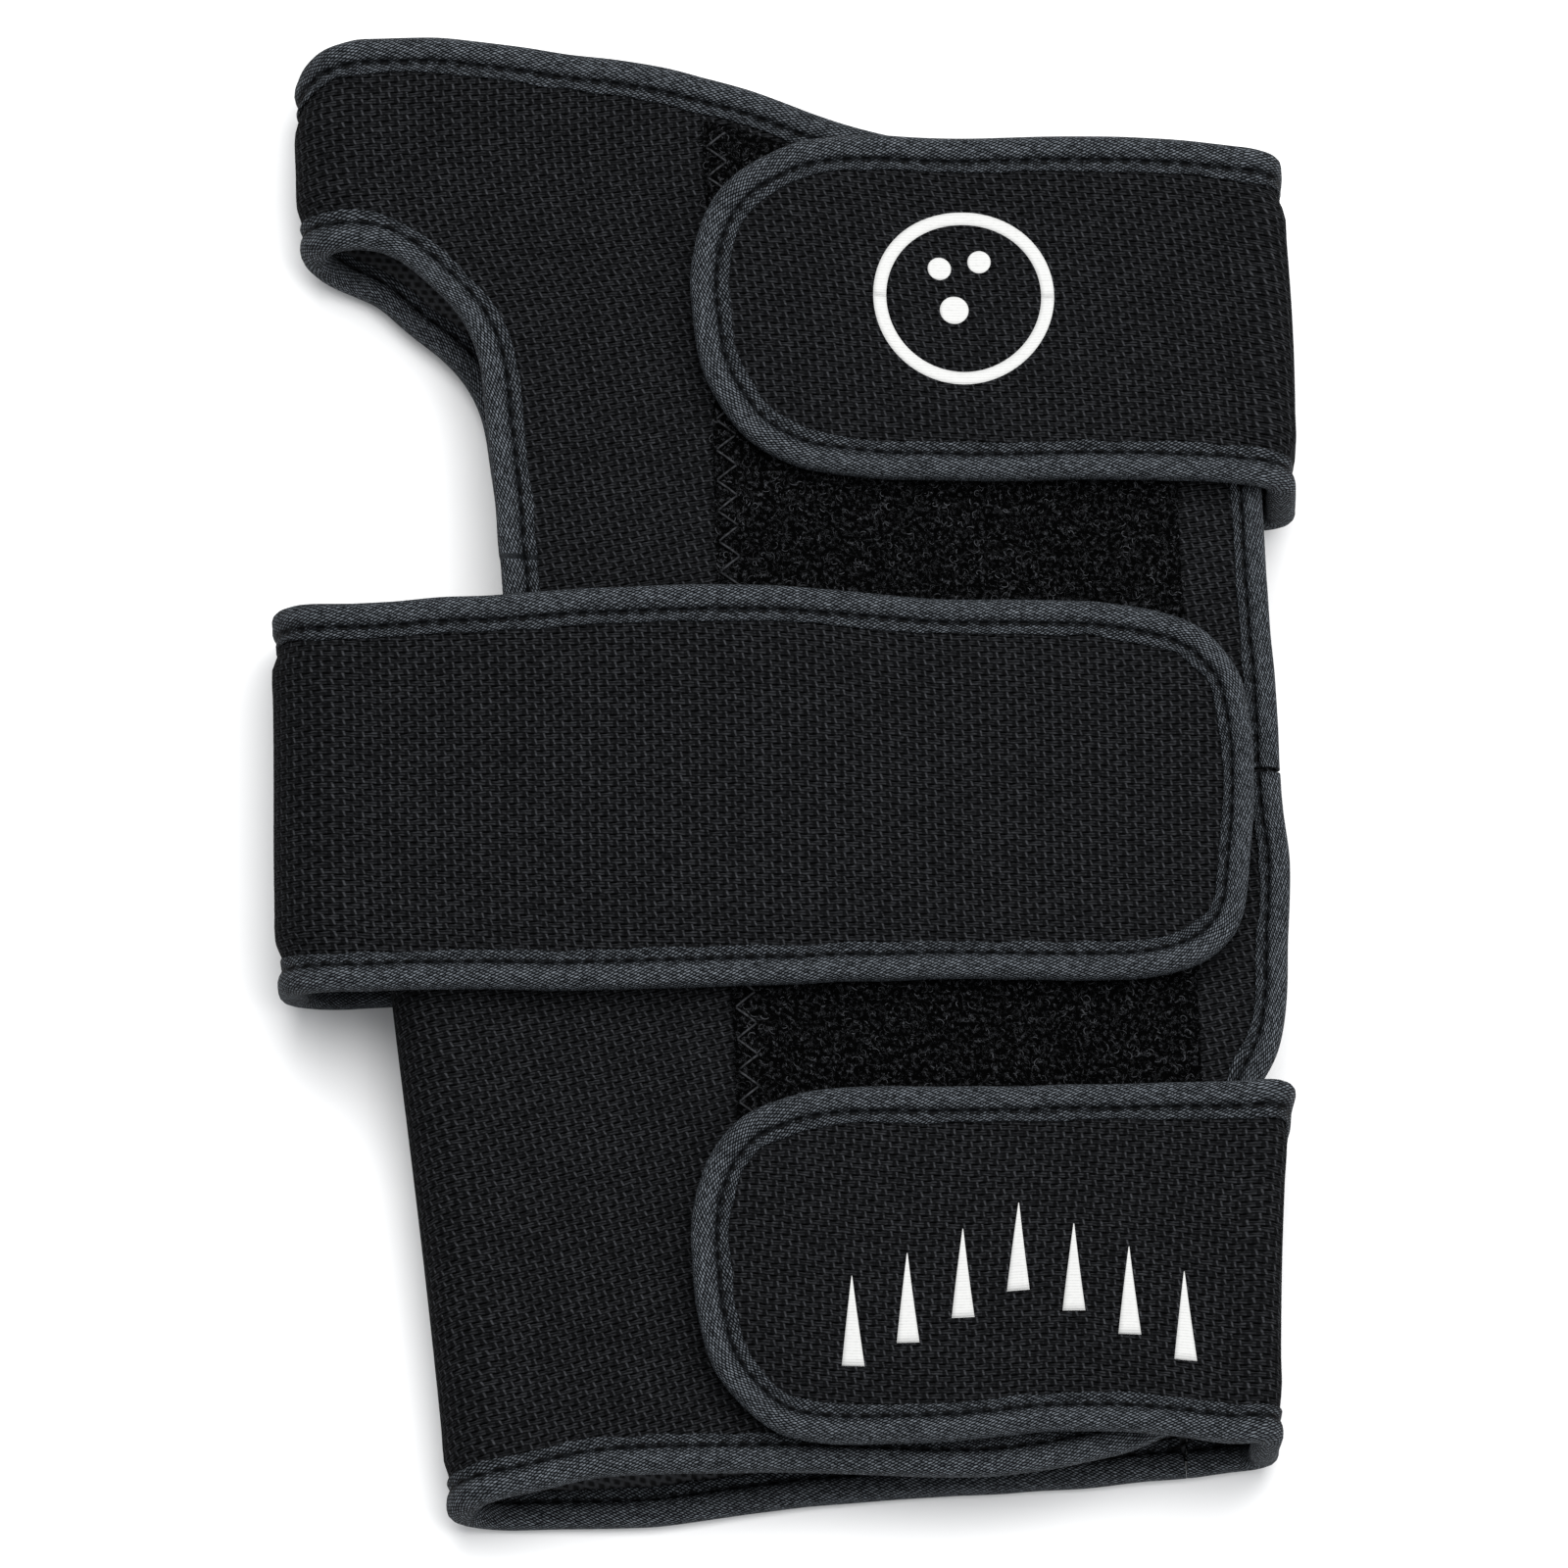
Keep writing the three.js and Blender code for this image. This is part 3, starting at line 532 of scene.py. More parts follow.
def ply_object(name, wrap, q, y, half, materials, gap=None, grain=(0, 0, 0), bulge=0.0):
    """A closed sheet on a grid of places, half its thickness each way; gap marks open cells."""
    top, bottom = wrap.place(q, y, half + bulge), wrap.place(q, y, bulge - half)
    points, faces = closed_sheet(top, bottom, ... if gap is None else ~gap)
    slots = np.repeat([0, 1, 1], [len(f) for f in faces])
    along, (rows, columns, twist) = -wrap.side * q, grain
    uv = np.stack([along + columns * y, y + (rows + twist * y) * along], axis=-1).reshape(-1, 2)
    return mesh_object(name, points, faces, materials, np.vstack([uv, uv]), slots)


def fit_inside(q, y, edges):
    """Brings places back inside their tapes' lines; also gives each place's depth from them."""
    depth = np.full(q.shape, 99.0)
    lines = np.vstack([edge.line for edge in edges])
    intos = np.vstack([edge.into for edge in edges])
    tree = KDTree(len(lines))
    for k, (a, b) in enumerate(lines):
        tree.insert((a, b, 0), k)
    tree.balance()
    for at in np.ndindex(q.shape):
        _, k, far = tree.find((q[at], y[at], 0))
        if far > FAR_INSIDE:
            continue
        inward = float((np.array([q[at], y[at]]) - lines[k]) @ intos[k])
        if inward < LEAST_INSIDE and far < 6.0:
            q[at] += (LEAST_INSIDE - inward) * intos[k][0]
            y[at] += (LEAST_INSIDE - inward) * intos[k][1]
            inward = LEAST_INSIDE
        depth[at] = far if inward > LEAST_INSIDE else inward
    return depth


def fold_bulge(wrap, q, depth):
    """The laminate swells outwards where it turns, as far as the tapes beside it."""
    turned = smooth((q + wrap.fold_length + 6) / 9) * smooth((6 - q) / 9)
    return wrap.swell * turned * smooth((depth - 4) / 5)


def half_thickness(depth):
    """The laminate is nipped under a tape and puffs up beside it."""
    return np.interp(depth, [0, 3.3, 4.8, 7.6, 12.0], [1.0, 0.93, 1.12, 1.46, 1.3])


def tubes(centres, ups, radius, sides):
    """Closed tubes along many centre lines of equal numbers of points."""
    n, m = centres.shape[:2]
    ahead = np.gradient(centres, axis=1)
    ahead /= np.linalg.norm(ahead, axis=-1, keepdims=True)
    across = np.cross(ahead, ups)
    across /= np.linalg.norm(across, axis=-1, keepdims=True)
    over = np.cross(across, ahead)
    angle = np.arange(sides) * 2 * math.pi / sides
    radius = np.broadcast_to(radius, (n, m))[..., None, None]
    ring = across[:, :, None] * np.cos(angle)[:, None] + over[:, :, None] * np.sin(angle)[:, None]
    points = (centres[:, :, None] + ring * radius).reshape(-1, 3)
    tube, step, side = np.meshgrid(np.arange(n), np.arange(m - 1), np.arange(sides), indexing="ij")
    base = (tube * m + step) * sides
    a, b = (base + side).ravel(), (base + (side + 1) % sides).ravel()
    faces = [np.stack([a, b, b + sides, a + sides], axis=1)]
    first = (np.arange(n) * m * sides)[:, None]
    last = first + (m - 1) * sides
    for cap in TUBE_CAPS[sides]:
        faces += [first + cap[::-1], last + cap]
    return points, faces


def joined(parts):
    """Several (points, faces) as one."""
    points, faces, first = [], [], 0
    for its_points, its_faces in parts:
        points.append(its_points)
        faces += [f + first for f in its_faces]
        first += len(its_points)
    return np.concatenate(points), faces


def wander(along, seed, pitch):
    """A smooth random line, about one wide."""
    rng = np.random.default_rng(seed)
    count = int(along.max() / pitch) + 3
    knots = rng.uniform(-1, 1, count)
    at = along / pitch
    i = np.floor(at).astype(int)
    return mix(knots[i], knots[i + 1], smooth(at - i))


# Outside of a folded tape, from its upper inner edge to the fold: (into the ply, height)
TAPE_OUTSIDE = [
    (4.86, 1.22), (4.8, 1.55), (4.5, 1.68), (4.0, 1.6), (3.35, 1.42), (2.8, 1.66), (2.2, 1.92),
    (1.4, 2.1), (0.6, 2.12), (-0.1, 1.92), (-0.6, 1.42), (-0.85, 0.75), (-0.9, 0.0),
]
TAPE_INSIDE = [
    (-0.5, 0.0), (-0.4, 0.6), (0.1, 1.2), (0.8, 1.4), (2.0, 1.3), (3.35, 1.04), (4.5, 1.2),
    (4.8, 1.2),
]


def tape_profile():
    """A tape's closed section; also how many of its points are outside."""
    outside, inside, mirror = np.array(TAPE_OUTSIDE), np.array(TAPE_INSIDE), [1, -1]
    profile = np.vstack([outside, outside[-2::-1] * mirror, inside[::-1] * mirror, inside[1:]])
    return profile, 2 * len(outside) - 1


def tape_caps(sides, outer_count, last):
    """Faces that close a tape's section at its first and its last station."""
    inner = [sides - 1 - i for i in range(len(TAPE_INSIDE) * 2 - 1)]
    picks = np.round(np.linspace(0, len(inner) - 1, outer_count)).astype(int)
    quads, triangles = [], []
    for i in range(outer_count - 1):
        a, b = inner[picks[i]], inner[picks[i + 1]]
        if a == b:
            triangles.append([i, i + 1, b])
        else:
            quads.append([i, i + 1, b, a])
    quads, triangles = np.array(quads), np.array(triangles)
    return [quads, quads[:, ::-1] + last, triangles, triangles[:, ::-1] + last]


def tape_object(name, edge, material, seed):
    """A woven tape folded over a ply's edge, drawn in along its stitch line."""
    profile, outer_count = tape_profile()
    sides, count = len(profile), len(edge.along)
    along = edge.along[:, None]
    depth, height = profile[:, 0][None], profile[:, 1][None]
    is_outer = (np.arange(sides) < outer_count)[None]
    near_stitch = np.exp(-(((depth - STITCH_INTO) / 0.75) ** 2)) * is_outer
    stretch = STITCH_PITCH * int(edge.length / STITCH_PITCH) / edge.length
    draw = 0.5 - 0.5 * np.cos(2 * math.pi * along * stretch / STITCH_PITCH)
    pucker = 1 - near_stitch * (0.02 + 0.16 * draw)
    swell = 1 + 0.05 * wander(along, seed, 3.1) * np.exp(-(((depth - 1.2) / 1.3) ** 2)) * is_outer
    stray = 0.22 * wander(along, seed + 1, 4.0) + 0.1 * wander(along, seed + 2, 1.4)
    shift = stray * np.clip((depth - 3.6) / 1.2, 0, 1) + 0.12 * wander(along, seed + 3, 7.0)
    depth = np.where(depth > 0, depth * edge.slim[:, None], depth)
    where = edge.line[:, None, :] + edge.into[:, None, :] * (depth + shift)[..., None]
    points = edge.wrap.place(where[..., 0], where[..., 1], height * pucker * swell)
    points = points.reshape(-1, 3)
    spans = np.arange(count if edge.closed else count - 1)
    k, s = np.meshgrid(spans, np.arange(sides), indexing="ij")
    ahead, beside = (k + 1) % count, (s + 1) % sides
    corners = [k * sides + s, k * sides + beside, ahead * sides + beside, ahead * sides + s]
    faces = [np.stack([c.ravel() for c in corners], axis=1)]
    if not edge.closed:
        faces += tape_caps(sides, outer_count, (count - 1) * sides)
    faces = outward(points, faces)
    width = ways_along(profile)
    width = np.abs(width - width[len(TAPE_OUTSIDE) - 1])
    way = -edge.wrap.side * along * stretch
    uv = np.stack(np.broadcast_arrays(way, width[None]), axis=-1).reshape(-1, 2)
    return mesh_object(name, points, faces, [material], uv)


def stitches_on(edge):
    """Stitches along both faces of a tape, each with its ends drawn into the cloth."""
    count = int(edge.length / STITCH_PITCH)
    middles = (np.arange(count) + 0.5) * edge.length / count
    reach = np.array([-0.5, -0.36, -0.12, 0.12, 0.36, 0.5]) * STITCH_LENGTH
    sink = np.array([-0.15, 0.0, 0.05, 0.05, 0.0, -0.15])
    thick = np.array([0.45, 0.9, 1.0, 1.0, 0.9, 0.45]) * THREAD_RADIUS
    along = np.clip(middles[:, None] + reach, 0.0, edge.length)
    spot = edge.at(along, np.full(along.shape, STITCH_INTO))
    sewn = []
    for face in (1, -1):
        rise = face * (STITCH_HEIGHT + sink + 0 * along)
        centres = edge.wrap.place(spot[..., 0], spot[..., 1], rise)
        ups = edge.wrap.normal(spot[..., 0], spot[..., 1], rise)
        sewn.append(tubes(centres, ups, thick, len(thick)))
    return joined(sewn)


def bound_edge(name, node, edge, seed):
    """The tape that stands for a binding of the frame, and its stitches."""
    tape = tape_object(name, edge, MATERIALS["tape"], seed)
    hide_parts(node)
    sewn = mesh_object(name + "_stitches", *stitches_on(edge), [MATERIALS["thread"]])
    return [tape, sewn]


# Materials


class Graph:
    """Short ways to wire a material's nodes; numbers go straight into sockets."""

    def __init__(self, name):
        self.material = bpy.data.materials.new(name)
        self.material.use_nodes = True
        self.tree = self.material.node_tree
        self.tree.nodes.clear()
        self.output = self.tree.nodes.new("ShaderNodeOutputMaterial")

    def plug(self, socket, value):
        if isinstance(value, bpy.types.NodeSocket):
            self.tree.links.new(value, socket)
        elif value is not None:
            socket.default_value = value

    def math(self, operation, a, b=None):
        node = self.tree.nodes.new("ShaderNodeMath")
        node.operation = operation
        self.plug(node.inputs[0], a)
        self.plug(node.inputs[1], b)
        return node.outputs[0]

    def add(self, a, b):
        return self.math("ADD", a, b)

    def times(self, a, b):
        return self.math("MULTIPLY", a, b)

    def most(self, a, b):
        return self.math("MAXIMUM", a, b)

    def less(self, a, b):
        return self.math("SUBTRACT", a, b)

    def over(self, a, b):
        return self.math("DIVIDE", a, b)

    def cell(self, value):
        """Number of the cell a value lies in, and how far into it."""
        return self.math("FLOOR", value), self.math("FRACT", value)

    def within(self, way, size):
        """How far into its cell of this size a way lies."""
        return self.math("FRACT", self.over(way, size))

    def off_row(self, row):
        """Half a cell in every second row."""
        return self.times(self.math("PINGPONG", row, 1.0), 0.5)

    def about(self, value, amount):
        """A value round a half, made a small amount round nought."""
        return self.times(self.less(value, 0.5), amount)

    def band(self, value, centre, half, soft):
        """One inside the band round the centre, easing to nought at its sides."""
        off = self.math("ABSOLUTE", self.less(value, centre))
        return self.ramp(off, half - soft, half + soft, 1.0, 0.0)

    def ramp(self, value, low, high, to_low, to_high):
        node = self.tree.nodes.new("ShaderNodeMapRange")
        node.interpolation_type = "SMOOTHSTEP"
        for socket, number in zip(node.inputs, (value, low, high, to_low, to_high)):
            self.plug(socket, number)
        return node.outputs[0]

    def cloth_uv(self):
        node = self.tree.nodes.new("ShaderNodeUVMap")
        node.uv_map = "cloth"
        split = self.tree.nodes.new("ShaderNodeSeparateXYZ")
        self.plug(split.inputs[0], node.outputs[0])
        return split.outputs[0], split.outputs[1], node.outputs[0]

    def place(self):
        return self.tree.nodes.new("ShaderNodeTexCoord").outputs["Object"]

    def vector(self, x, y, z=0.0):
        node = self.tree.nodes.new("ShaderNodeCombineXYZ")
        for socket, value in zip(node.inputs, (x, y, z)):
            self.plug(socket, value)
        return node.outputs[0]

    def noise(self, vector, scale, detail=2.0):
        node = self.tree.nodes.new("ShaderNodeTexNoise")
        self.plug(node.inputs["Vector"], vector)
        node.inputs["Scale"].default_value = scale
        node.inputs["Detail"].default_value = detail
        return node.outputs[0]

    def dice(self, vector):
        node = self.tree.nodes.new("ShaderNodeTexWhiteNoise")
        node.noise_dimensions = "3D"
        self.plug(node.inputs["Vector"], vector)
        return node.outputs[0]

    def shade(self, stops, value):
        """Colour from a value: stops are (place, linear grey or RGB)."""
        node = self.tree.nodes.new("ShaderNodeValToRGB")
        ramp = node.color_ramp
        while len(ramp.elements) < len(stops):
            ramp.elements.new(0.5)
        for element, (at, colour) in zip(ramp.elements, stops):
            element.position = at
            element.color = (*colour, 1.0)
        self.plug(node.inputs[0], value)
        return node.outputs[0]

    def finish(self, colour, rough, height=None, bump=0.0, distance=0.2, specular=0.2, sheen=0.0):
        shader = self.tree.nodes.new("ShaderNodeBsdfPrincipled")
        self.plug(shader.inputs["Base Color"], colour)
        self.plug(shader.inputs["Roughness"], rough)
        shader.inputs["Specular IOR Level"].default_value = specular
        shader.inputs["Sheen Weight"].default_value = sheen
        shader.inputs["Sheen Roughness"].default_value = 0.5
        if height is not None:
            node = self.tree.nodes.new("ShaderNodeBump")
            node.inputs["Strength"].default_value = bump
            node.inputs["Distance"].default_value = distance * MM
            self.plug(node.inputs["Height"], height)
            self.plug(shader.inputs["Normal"], node.outputs[0])
        self.plug(self.output.inputs[0], shader.outputs[0])
        return self.material


def grey(level, tint=(0.93, 0.97, 1.06)):
    return tuple(level * t for t in tint)


def woven_cloth():
    """Pairs of weft threads in rows, tied by slanted warps half a tie apart in alternate rows."""
    g = Graph("woven_cloth")
    u, v, uv = g.cloth_uv()
    wavy = g.about(g.noise(uv, 0.3, 1.0), 0.5)
    row, in_row = g.cell(g.add(g.over(v, WEAVE_ROW), wavy))
    across = g.add(g.add(g.over(u, WEAVE_TIE), g.off_row(row)), g.times(wavy, 0.3))
    float_no, in_float = g.cell(across)
    lean = g.add(in_float, g.about(in_row, 0.11))
    tie = g.times(g.band(lean, 0.25, 0.085, 0.07), g.band(in_row, 0.5, 0.54, 0.2))
    pit = g.times(g.band(in_float, 0.46, 0.2, 0.09), g.ramp(in_row, 0.68, 0.82, 0.0, 1.0))
    pair = g.most(g.band(in_row, 0.22, 0.27, 0.22), g.band(in_row, 0.7, 0.27, 0.22))
    crown = g.add(0.6, g.times(g.band(in_float, 0.75, 0.45, 0.4), 0.4))
    threads = g.times(g.times(pair, crown), g.less(1.0, pit))
    height = g.most(threads, g.times(tie, 1.15))
    luck = g.dice(g.vector(float_no, row, 3.0))
    fibre = g.noise(g.vector(g.times(u, 1.2), g.times(v, 4.5)), 1.0, 3.0)
    patchy = g.times(g.noise(uv, 0.9, 2.0), 0.28)
    uneven = g.add(g.times(luck, 0.08), g.add(g.times(fibre, 0.95), patchy))
    bright = g.times(g.most(g.times(threads, 0.83), g.times(tie, 1.06)), uneven)
    colour = g.shade(
        [(0, grey(0.0002)), (0.15, grey(0.0007)), (0.45, grey(0.0058)), (1, grey(0.052))], bright
    )
    return g.finish(colour, 0.9, height, 1.0, 0.25, 0.015)


def mesh_lining():
    """Knitted lining with small holes in half-dropped rows."""
    g = Graph("mesh_lining")
    u, v, uv = g.cloth_uv()
    row, in_row = g.cell(g.over(v, 1.1))
    in_cell = g.math("FRACT", g.add(g.over(u, 1.5), g.off_row(row)))
    hole = g.times(g.band(in_row, 0.5, 0.28, 0.14), g.band(in_cell, 0.5, 0.26, 0.14))
    height = g.less(1.0, hole)
    bright = g.times(height, g.add(0.35, g.noise(uv, 2.2, 3.0)))
    colour = g.shade([(0, grey(0.003)), (0.6, grey(0.02)), (1, grey(0.05))], bright)
    return g.finish(colour, 0.8, height, 0.7, 0.25, 0.2, 0.05)


def tape_cloth():
    """Short slanted knots in lines aslant of the tape, drawn in at each stitch. Painted shade darkens
    the stitch line and the strip from it to the inner edge; a black dash at each stitch is partly its
    sunk thread, partly painted shade in its pit.
    """
    g = Graph("tape_cloth")
    u, v, uv = g.cloth_uv()
    wavy = g.about(g.noise(uv, 1.1, 2.0), 0.9)
    one_no, in_one = g.cell(g.add(g.add(g.times(u, 0.75), g.times(v, 1.7)), wavy))
    two_no, in_two = g.cell(g.add(g.less(g.times(u, 1.35), g.times(v, 2.2)), wavy))
    ends = g.add(0.1, g.times(g.band(in_one, 0.5, 0.4, 0.25), 0.9))
    knot = g.times(ends, g.band(in_two, 0.5, 0.37, 0.28))
    luck = g.dice(g.vector(one_no, two_no, 7.0))
    in_stitch = g.within(u, STITCH_PITCH)
    # painted shade: a band along the stitch line is darkened, where the tape is drawn into a groove
    stitch_groove_shade = g.band(v, STITCH_WAY, 0.4, 0.35)
    # black dash at each stitch: partly the dark thread sunk there, partly painted shade in its pit
    pit = g.times(g.band(v, STITCH_WAY, 0.19, 0.1), g.band(in_stitch, 0.5, 0.22, 0.06))
    clear_of_stitch_shade = g.times(g.less(1.0, g.times(stitch_groove_shade, 0.4)), g.less(1.0, pit))
    uneven = g.add(0.35, g.add(g.times(luck, 0.35), g.times(g.noise(uv, 1.2, 2.0), 0.45)))
    # painted shade: the strip from just before the stitch line to the tape's inner edge, beside the
    # puffed laminate, is darker
    inner_strip_shade = g.ramp(v, STITCH_WAY - 1.6, STITCH_WAY - 0.4, 1.0, 0.84)
    bright = g.times(g.times(knot, g.times(uneven, inner_strip_shade)), clear_of_stitch_shade)
    colour = g.shade(
        [(0, (0.0004, 0.0005, 0.0007)), (0.35, (0.0078, 0.0088, 0.0101)), (1, (0.155, 0.172, 0.192))],
        bright,
    )
    return g.finish(colour, 0.7, g.times(knot, clear_of_stitch_shade), 1.0, 0.22, 0.03)


def pile_cloth():
    """Black ground with fine curled strands, drawn as level lines of two soft fields."""
    g = Graph("pile_cloth")
    _, _, uv = g.cloth_uv()
    strands = None
    for scale, lines in ((0.8, 9.0), (1.2, 7.0)):
        level = g.math("FRACT", g.times(g.noise(uv, scale, 1.0), lines))
        layer = g.band(level, 0.5, 0.24, 0.2)
        strands = layer if strands is None else g.most(g.times(strands, 0.8), layer)
    patchy = g.ramp(g.noise(uv, 1.3, 3.0), 0.35, 0.65, 0.15, 1.0)
    bright = g.times(strands, patchy)
    colour = g.shade([(0.0, grey(0.0001)), (0.5, grey(0.001)), (1.0, grey(0.035))], bright)
    return g.finish(colour, 0.9, bright, 1.0, 0.5, 0.02)


def curl_thread():
    """Each curl has its own grey."""
    g = Graph("curl_thread")
    own = g.tree.nodes.new("ShaderNodeNewGeometry").outputs["Random Per Island"]
    stops = [(0.0, grey(0.0003)), (0.5, grey(0.003)), (0.8, grey(0.016)), (1, grey(0.065))]
    return g.finish(g.shade(stops, own), 0.5, specular=0.06)


def hook_cloth():
    """Small hooks in square rows."""
    g = Graph("hook_cloth")
    u, v, _ = g.cloth_uv()
    hooks = g.times(*(g.band(g.within(way, 0.9), 0.5, 0.28, 0.12) for way in (u, v)))
    colour = g.shade([(0, grey(0.004)), (1, grey(0.022))], hooks)
    return g.finish(colour, 0.45, hooks, 1.0, 0.4, 0.3)


def sewing_thread(name, dark, light):
    g = Graph(name)
    twist = g.noise(g.place(), 1500.0, 2.0)
    colour = g.shade([(0.3, grey(dark)), (0.8, grey(light))], twist)
    return g.finish(colour, 0.55, twist, 0.4, 0.05, 0.08)


def print_ink():
    """Off-white ink that lets a little of the weave show through."""
    g = Graph("print_ink")
    _, v, uv = g.cloth_uv()
    in_row = g.within(v, WEAVE_ROW)
    ridge = g.most(g.band(in_row, 0.27, 0.22, 0.14), g.band(in_row, 0.75, 0.22, 0.14))
    worn = g.add(g.times(ridge, 0.35), g.times(g.noise(uv, 1.6, 3.0), 0.6))
    colour = g.shade([(0.1, (0.36, 0.36, 0.35)), (0.6, (0.52, 0.52, 0.51))], worn)
    return g.finish(colour, 0.8, ridge, 0.35, 0.12, 0.04)


def floor_paint():
    g = Graph("floor_paint")
    fine = g.noise(g.place(), 30.0, 2.0)
    colour = g.shade([(0.0, (0.86, 0.86, 0.86)), (1.0, (0.9, 0.9, 0.9))], fine)
    return g.finish(colour, 0.9, specular=0.1)


# Body


def front_top(q):
    """The front ply's hand end at ways from its fold."""
    return SHEET_TOP - GLOVE_LENGTH * read(HAND_END_FRONT, q / front_width(SHEET_TOP))


def front_ends(q_of):
    """Both ends of a column of the front ply, at the forearm and at the hand."""
    share = q_of(-SHEET_TOP) / front_width(-SHEET_TOP)
    return GLOVE_LENGTH * read(FOREARM_END_FRONT, share) - SHEET_TOP, front_top(q_of(SHEET_TOP))


def fold_ends(turn):
    """Both ends of a column of the fold."""
    bottom = GLOVE_LENGTH * read(FOREARM_END_FOLD, turn) - SHEET_TOP
    return bottom, SHEET_TOP - GLOVE_LENGTH * read(HAND_END_FOLD, turn)


def palm_ends(q_of):
    """Both ends of a column of the palm ply."""

    def share(y):
        return (-BODY_WRAP.fold_length - q_of(y)) / palm_width(y)

    hand_start = SHEET_TOP - GLOVE_LENGTH * HAND_END_FOLD[-1][1]
    hand_finish = strap_high(HAND) - HAND_ASKEW - TAPE_SET
    forearm_finish = strap_low(FOREARM) - FOREARM_ASKEW + TAPE_SET
    bottom = mix(-SHEET_TOP, forearm_finish, read(PALM_FOREARM_END, share(-SHEET_TOP)))
    return bottom, mix(hand_start, hand_finish, read(PALM_HAND_END, share(hand_start)))


def hole_at(rows, at):
    """The thumb hole's low and high side at one place of a table of its outline."""
    keys, lows, highs = zip(*sorted(rows))
    return hole_y(np.interp(at, keys, lows)), hole_y(np.interp(at, keys, highs))


def beside_hole(rows, share):
    """Where a column's cells change size, from the hole's blunt end to the straps' edges."""
    low, high = hole_at(rows, 1.0)
    ease = smooth(share / HOLE_EASE)
    return mix(low, strap_high(WRIST), ease), mix(high, strap_low(HAND), ease)


def body_columns():
    """Columns as (way along at a given y, ends, sides of the hole), and those across the hole."""
    length, columns = BODY_WRAP.fold_length, []
    for share in np.linspace(1, 0, FRONT_COLUMNS)[:-1]:
        q_of = lambda y, s=share: mix(THUMB_REACH, front_width(y), s)
        columns.append((q_of, front_ends(q_of), beside_hole(THUMB_FRONT, share)))
    first = len(columns)
    for reach in np.linspace(1, HOLE_FROM, HOLE_COLUMNS):
        q_of = lambda y, r=reach: r * THUMB_REACH + 0 * y
        columns.append((q_of, front_ends(q_of), hole_at(THUMB_FRONT, reach)))
    for turn in np.linspace(0, 1, FOLD_COLUMNS):
        q_of = lambda y, t=turn: -length * t + 0 * y
        columns.append((q_of, fold_ends(turn), hole_at(THUMB_FOLD, turn)))
    for reach in np.linspace(HOLE_FROM, 1, HOLE_COLUMNS):
        q_of = lambda y, r=reach: -length - r * THUMB_REACH + 0 * y
        columns.append((q_of, palm_ends(q_of), hole_at(THUMB_PALM, reach)))
    last = len(columns) - 1
    for share in np.linspace(0, 1, PALM_COLUMNS)[1:]:
        q_of = lambda y, s=share: -length - mix(THUMB_REACH, palm_width(y), s)
        columns.append((q_of, palm_ends(q_of), beside_hole(THUMB_PALM, share)))
    return columns, slice(first, last)


def body_grid():
    """Places of the body's cloth, from the front ply's free edge round to the palm's edge."""
    columns, across_hole = body_columns()
    rows = []
    for _, (bottom, top), (low, high) in columns:
        below = np.linspace(bottom, low, BELOW_HOLE + 1)[:-1]
        beside = np.linspace(low, high, BESIDE_HOLE + 1)[:-1]
        rows.append(np.concatenate([below, beside, np.linspace(high, top, ABOVE_HOLE + 1)]))
    y = np.array(rows)
    q = np.array([column[0](row) for column, row in zip(columns, y)])
    gap = np.zeros((len(y) - 1, y.shape[1] - 1), bool)
    gap[across_hole, BELOW_HOLE : BELOW_HOLE + BESIDE_HOLE] = True
    return q, y, gap


def thumb_edge():
    """The tape's line round the thumb hole."""
    length = BODY_WRAP.fold_length
    rows = [(reach * THUMB_REACH, low, high) for reach, low, high in THUMB_FRONT]
    rows += [(-length * turn, low, high) for turn, low, high in THUMB_FOLD]
    rows += [(-length - reach * THUMB_REACH, low, high) for reach, low, high in THUMB_PALM]
    points = [(q, hole_y(low)) for q, low, _ in rows]
    points += [(q, hole_y(high)) for q, _, high in reversed(rows)]
    return Edge(BODY_WRAP, points, closed=True, soften=3.0)


def body_edges(q, y):
    """The body's tape lines, taken from the rim of its grid."""
    meeting = mix(strap_low(WRIST), strap_high(WRIST), MEETING)
    rim = np.stack([q[0], y[0]], axis=1)
    hand_end = np.stack([q[:, -1], y[:, -1]], axis=1)
    forearm_end = np.stack([q[:, 0], y[:, 0]], axis=1)[::-1]
    start, finish = ((front_width(at), at) for at in (meeting + HALF_GAP, meeting - HALF_GAP))
    up = [p for p in rim[:-1] if p[1] > meeting + 2]
    down = [p for p in rim[1:] if p[1] < meeting - 2]
    hand = Edge(BODY_WRAP, [start, *up, *hand_end], upright=0.75)
    forearm = Edge(BODY_WRAP, [*forearm_end, *down, finish], upright=0.75)
    high = strap_low(HAND) - HAND_ASKEW - CLEARANCE
    low = strap_high(FOREARM) - FOREARM_ASKEW + CLEARANCE
    ways = np.linspace(high, low, 12)
    palm = Edge(BODY_WRAP, [(BODY_WRAP.under(palm_edge_x(at), at), at) for at in ways])
    return {"hand_end": hand, "forearm_end": forearm, "palm_edge": palm, "thumb": thumb_edge()}


def build_body():
    q, y, gap = body_grid()
    edges = body_edges(q, y)
    depth = fit_inside(q, y, list(edges.values()))
    cloth = [MATERIALS["cloth"], MATERIALS["lining"]]
    half, bulge = half_thickness(depth), fold_bulge(BODY_WRAP, q, depth)
    body = ply_object("body_laminate", BODY_WRAP, q, y, half, cloth, gap, BODY_GRAIN, bulge)
    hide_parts("body_panel")
    trims = []
    for k, (name, edge) in enumerate(edges.items()):
        trims += bound_edge(name + "_tape", name + "_binding", edge, 40 + 10 * k)
    trims += build_loop_field()
    trims += build_seams()


# Loop field


def loop_middle_x(y):
    return HALF_WIDTH - LOOP_INSET - LOOP_WIDTH / 2 - LOOP_SLANT * y


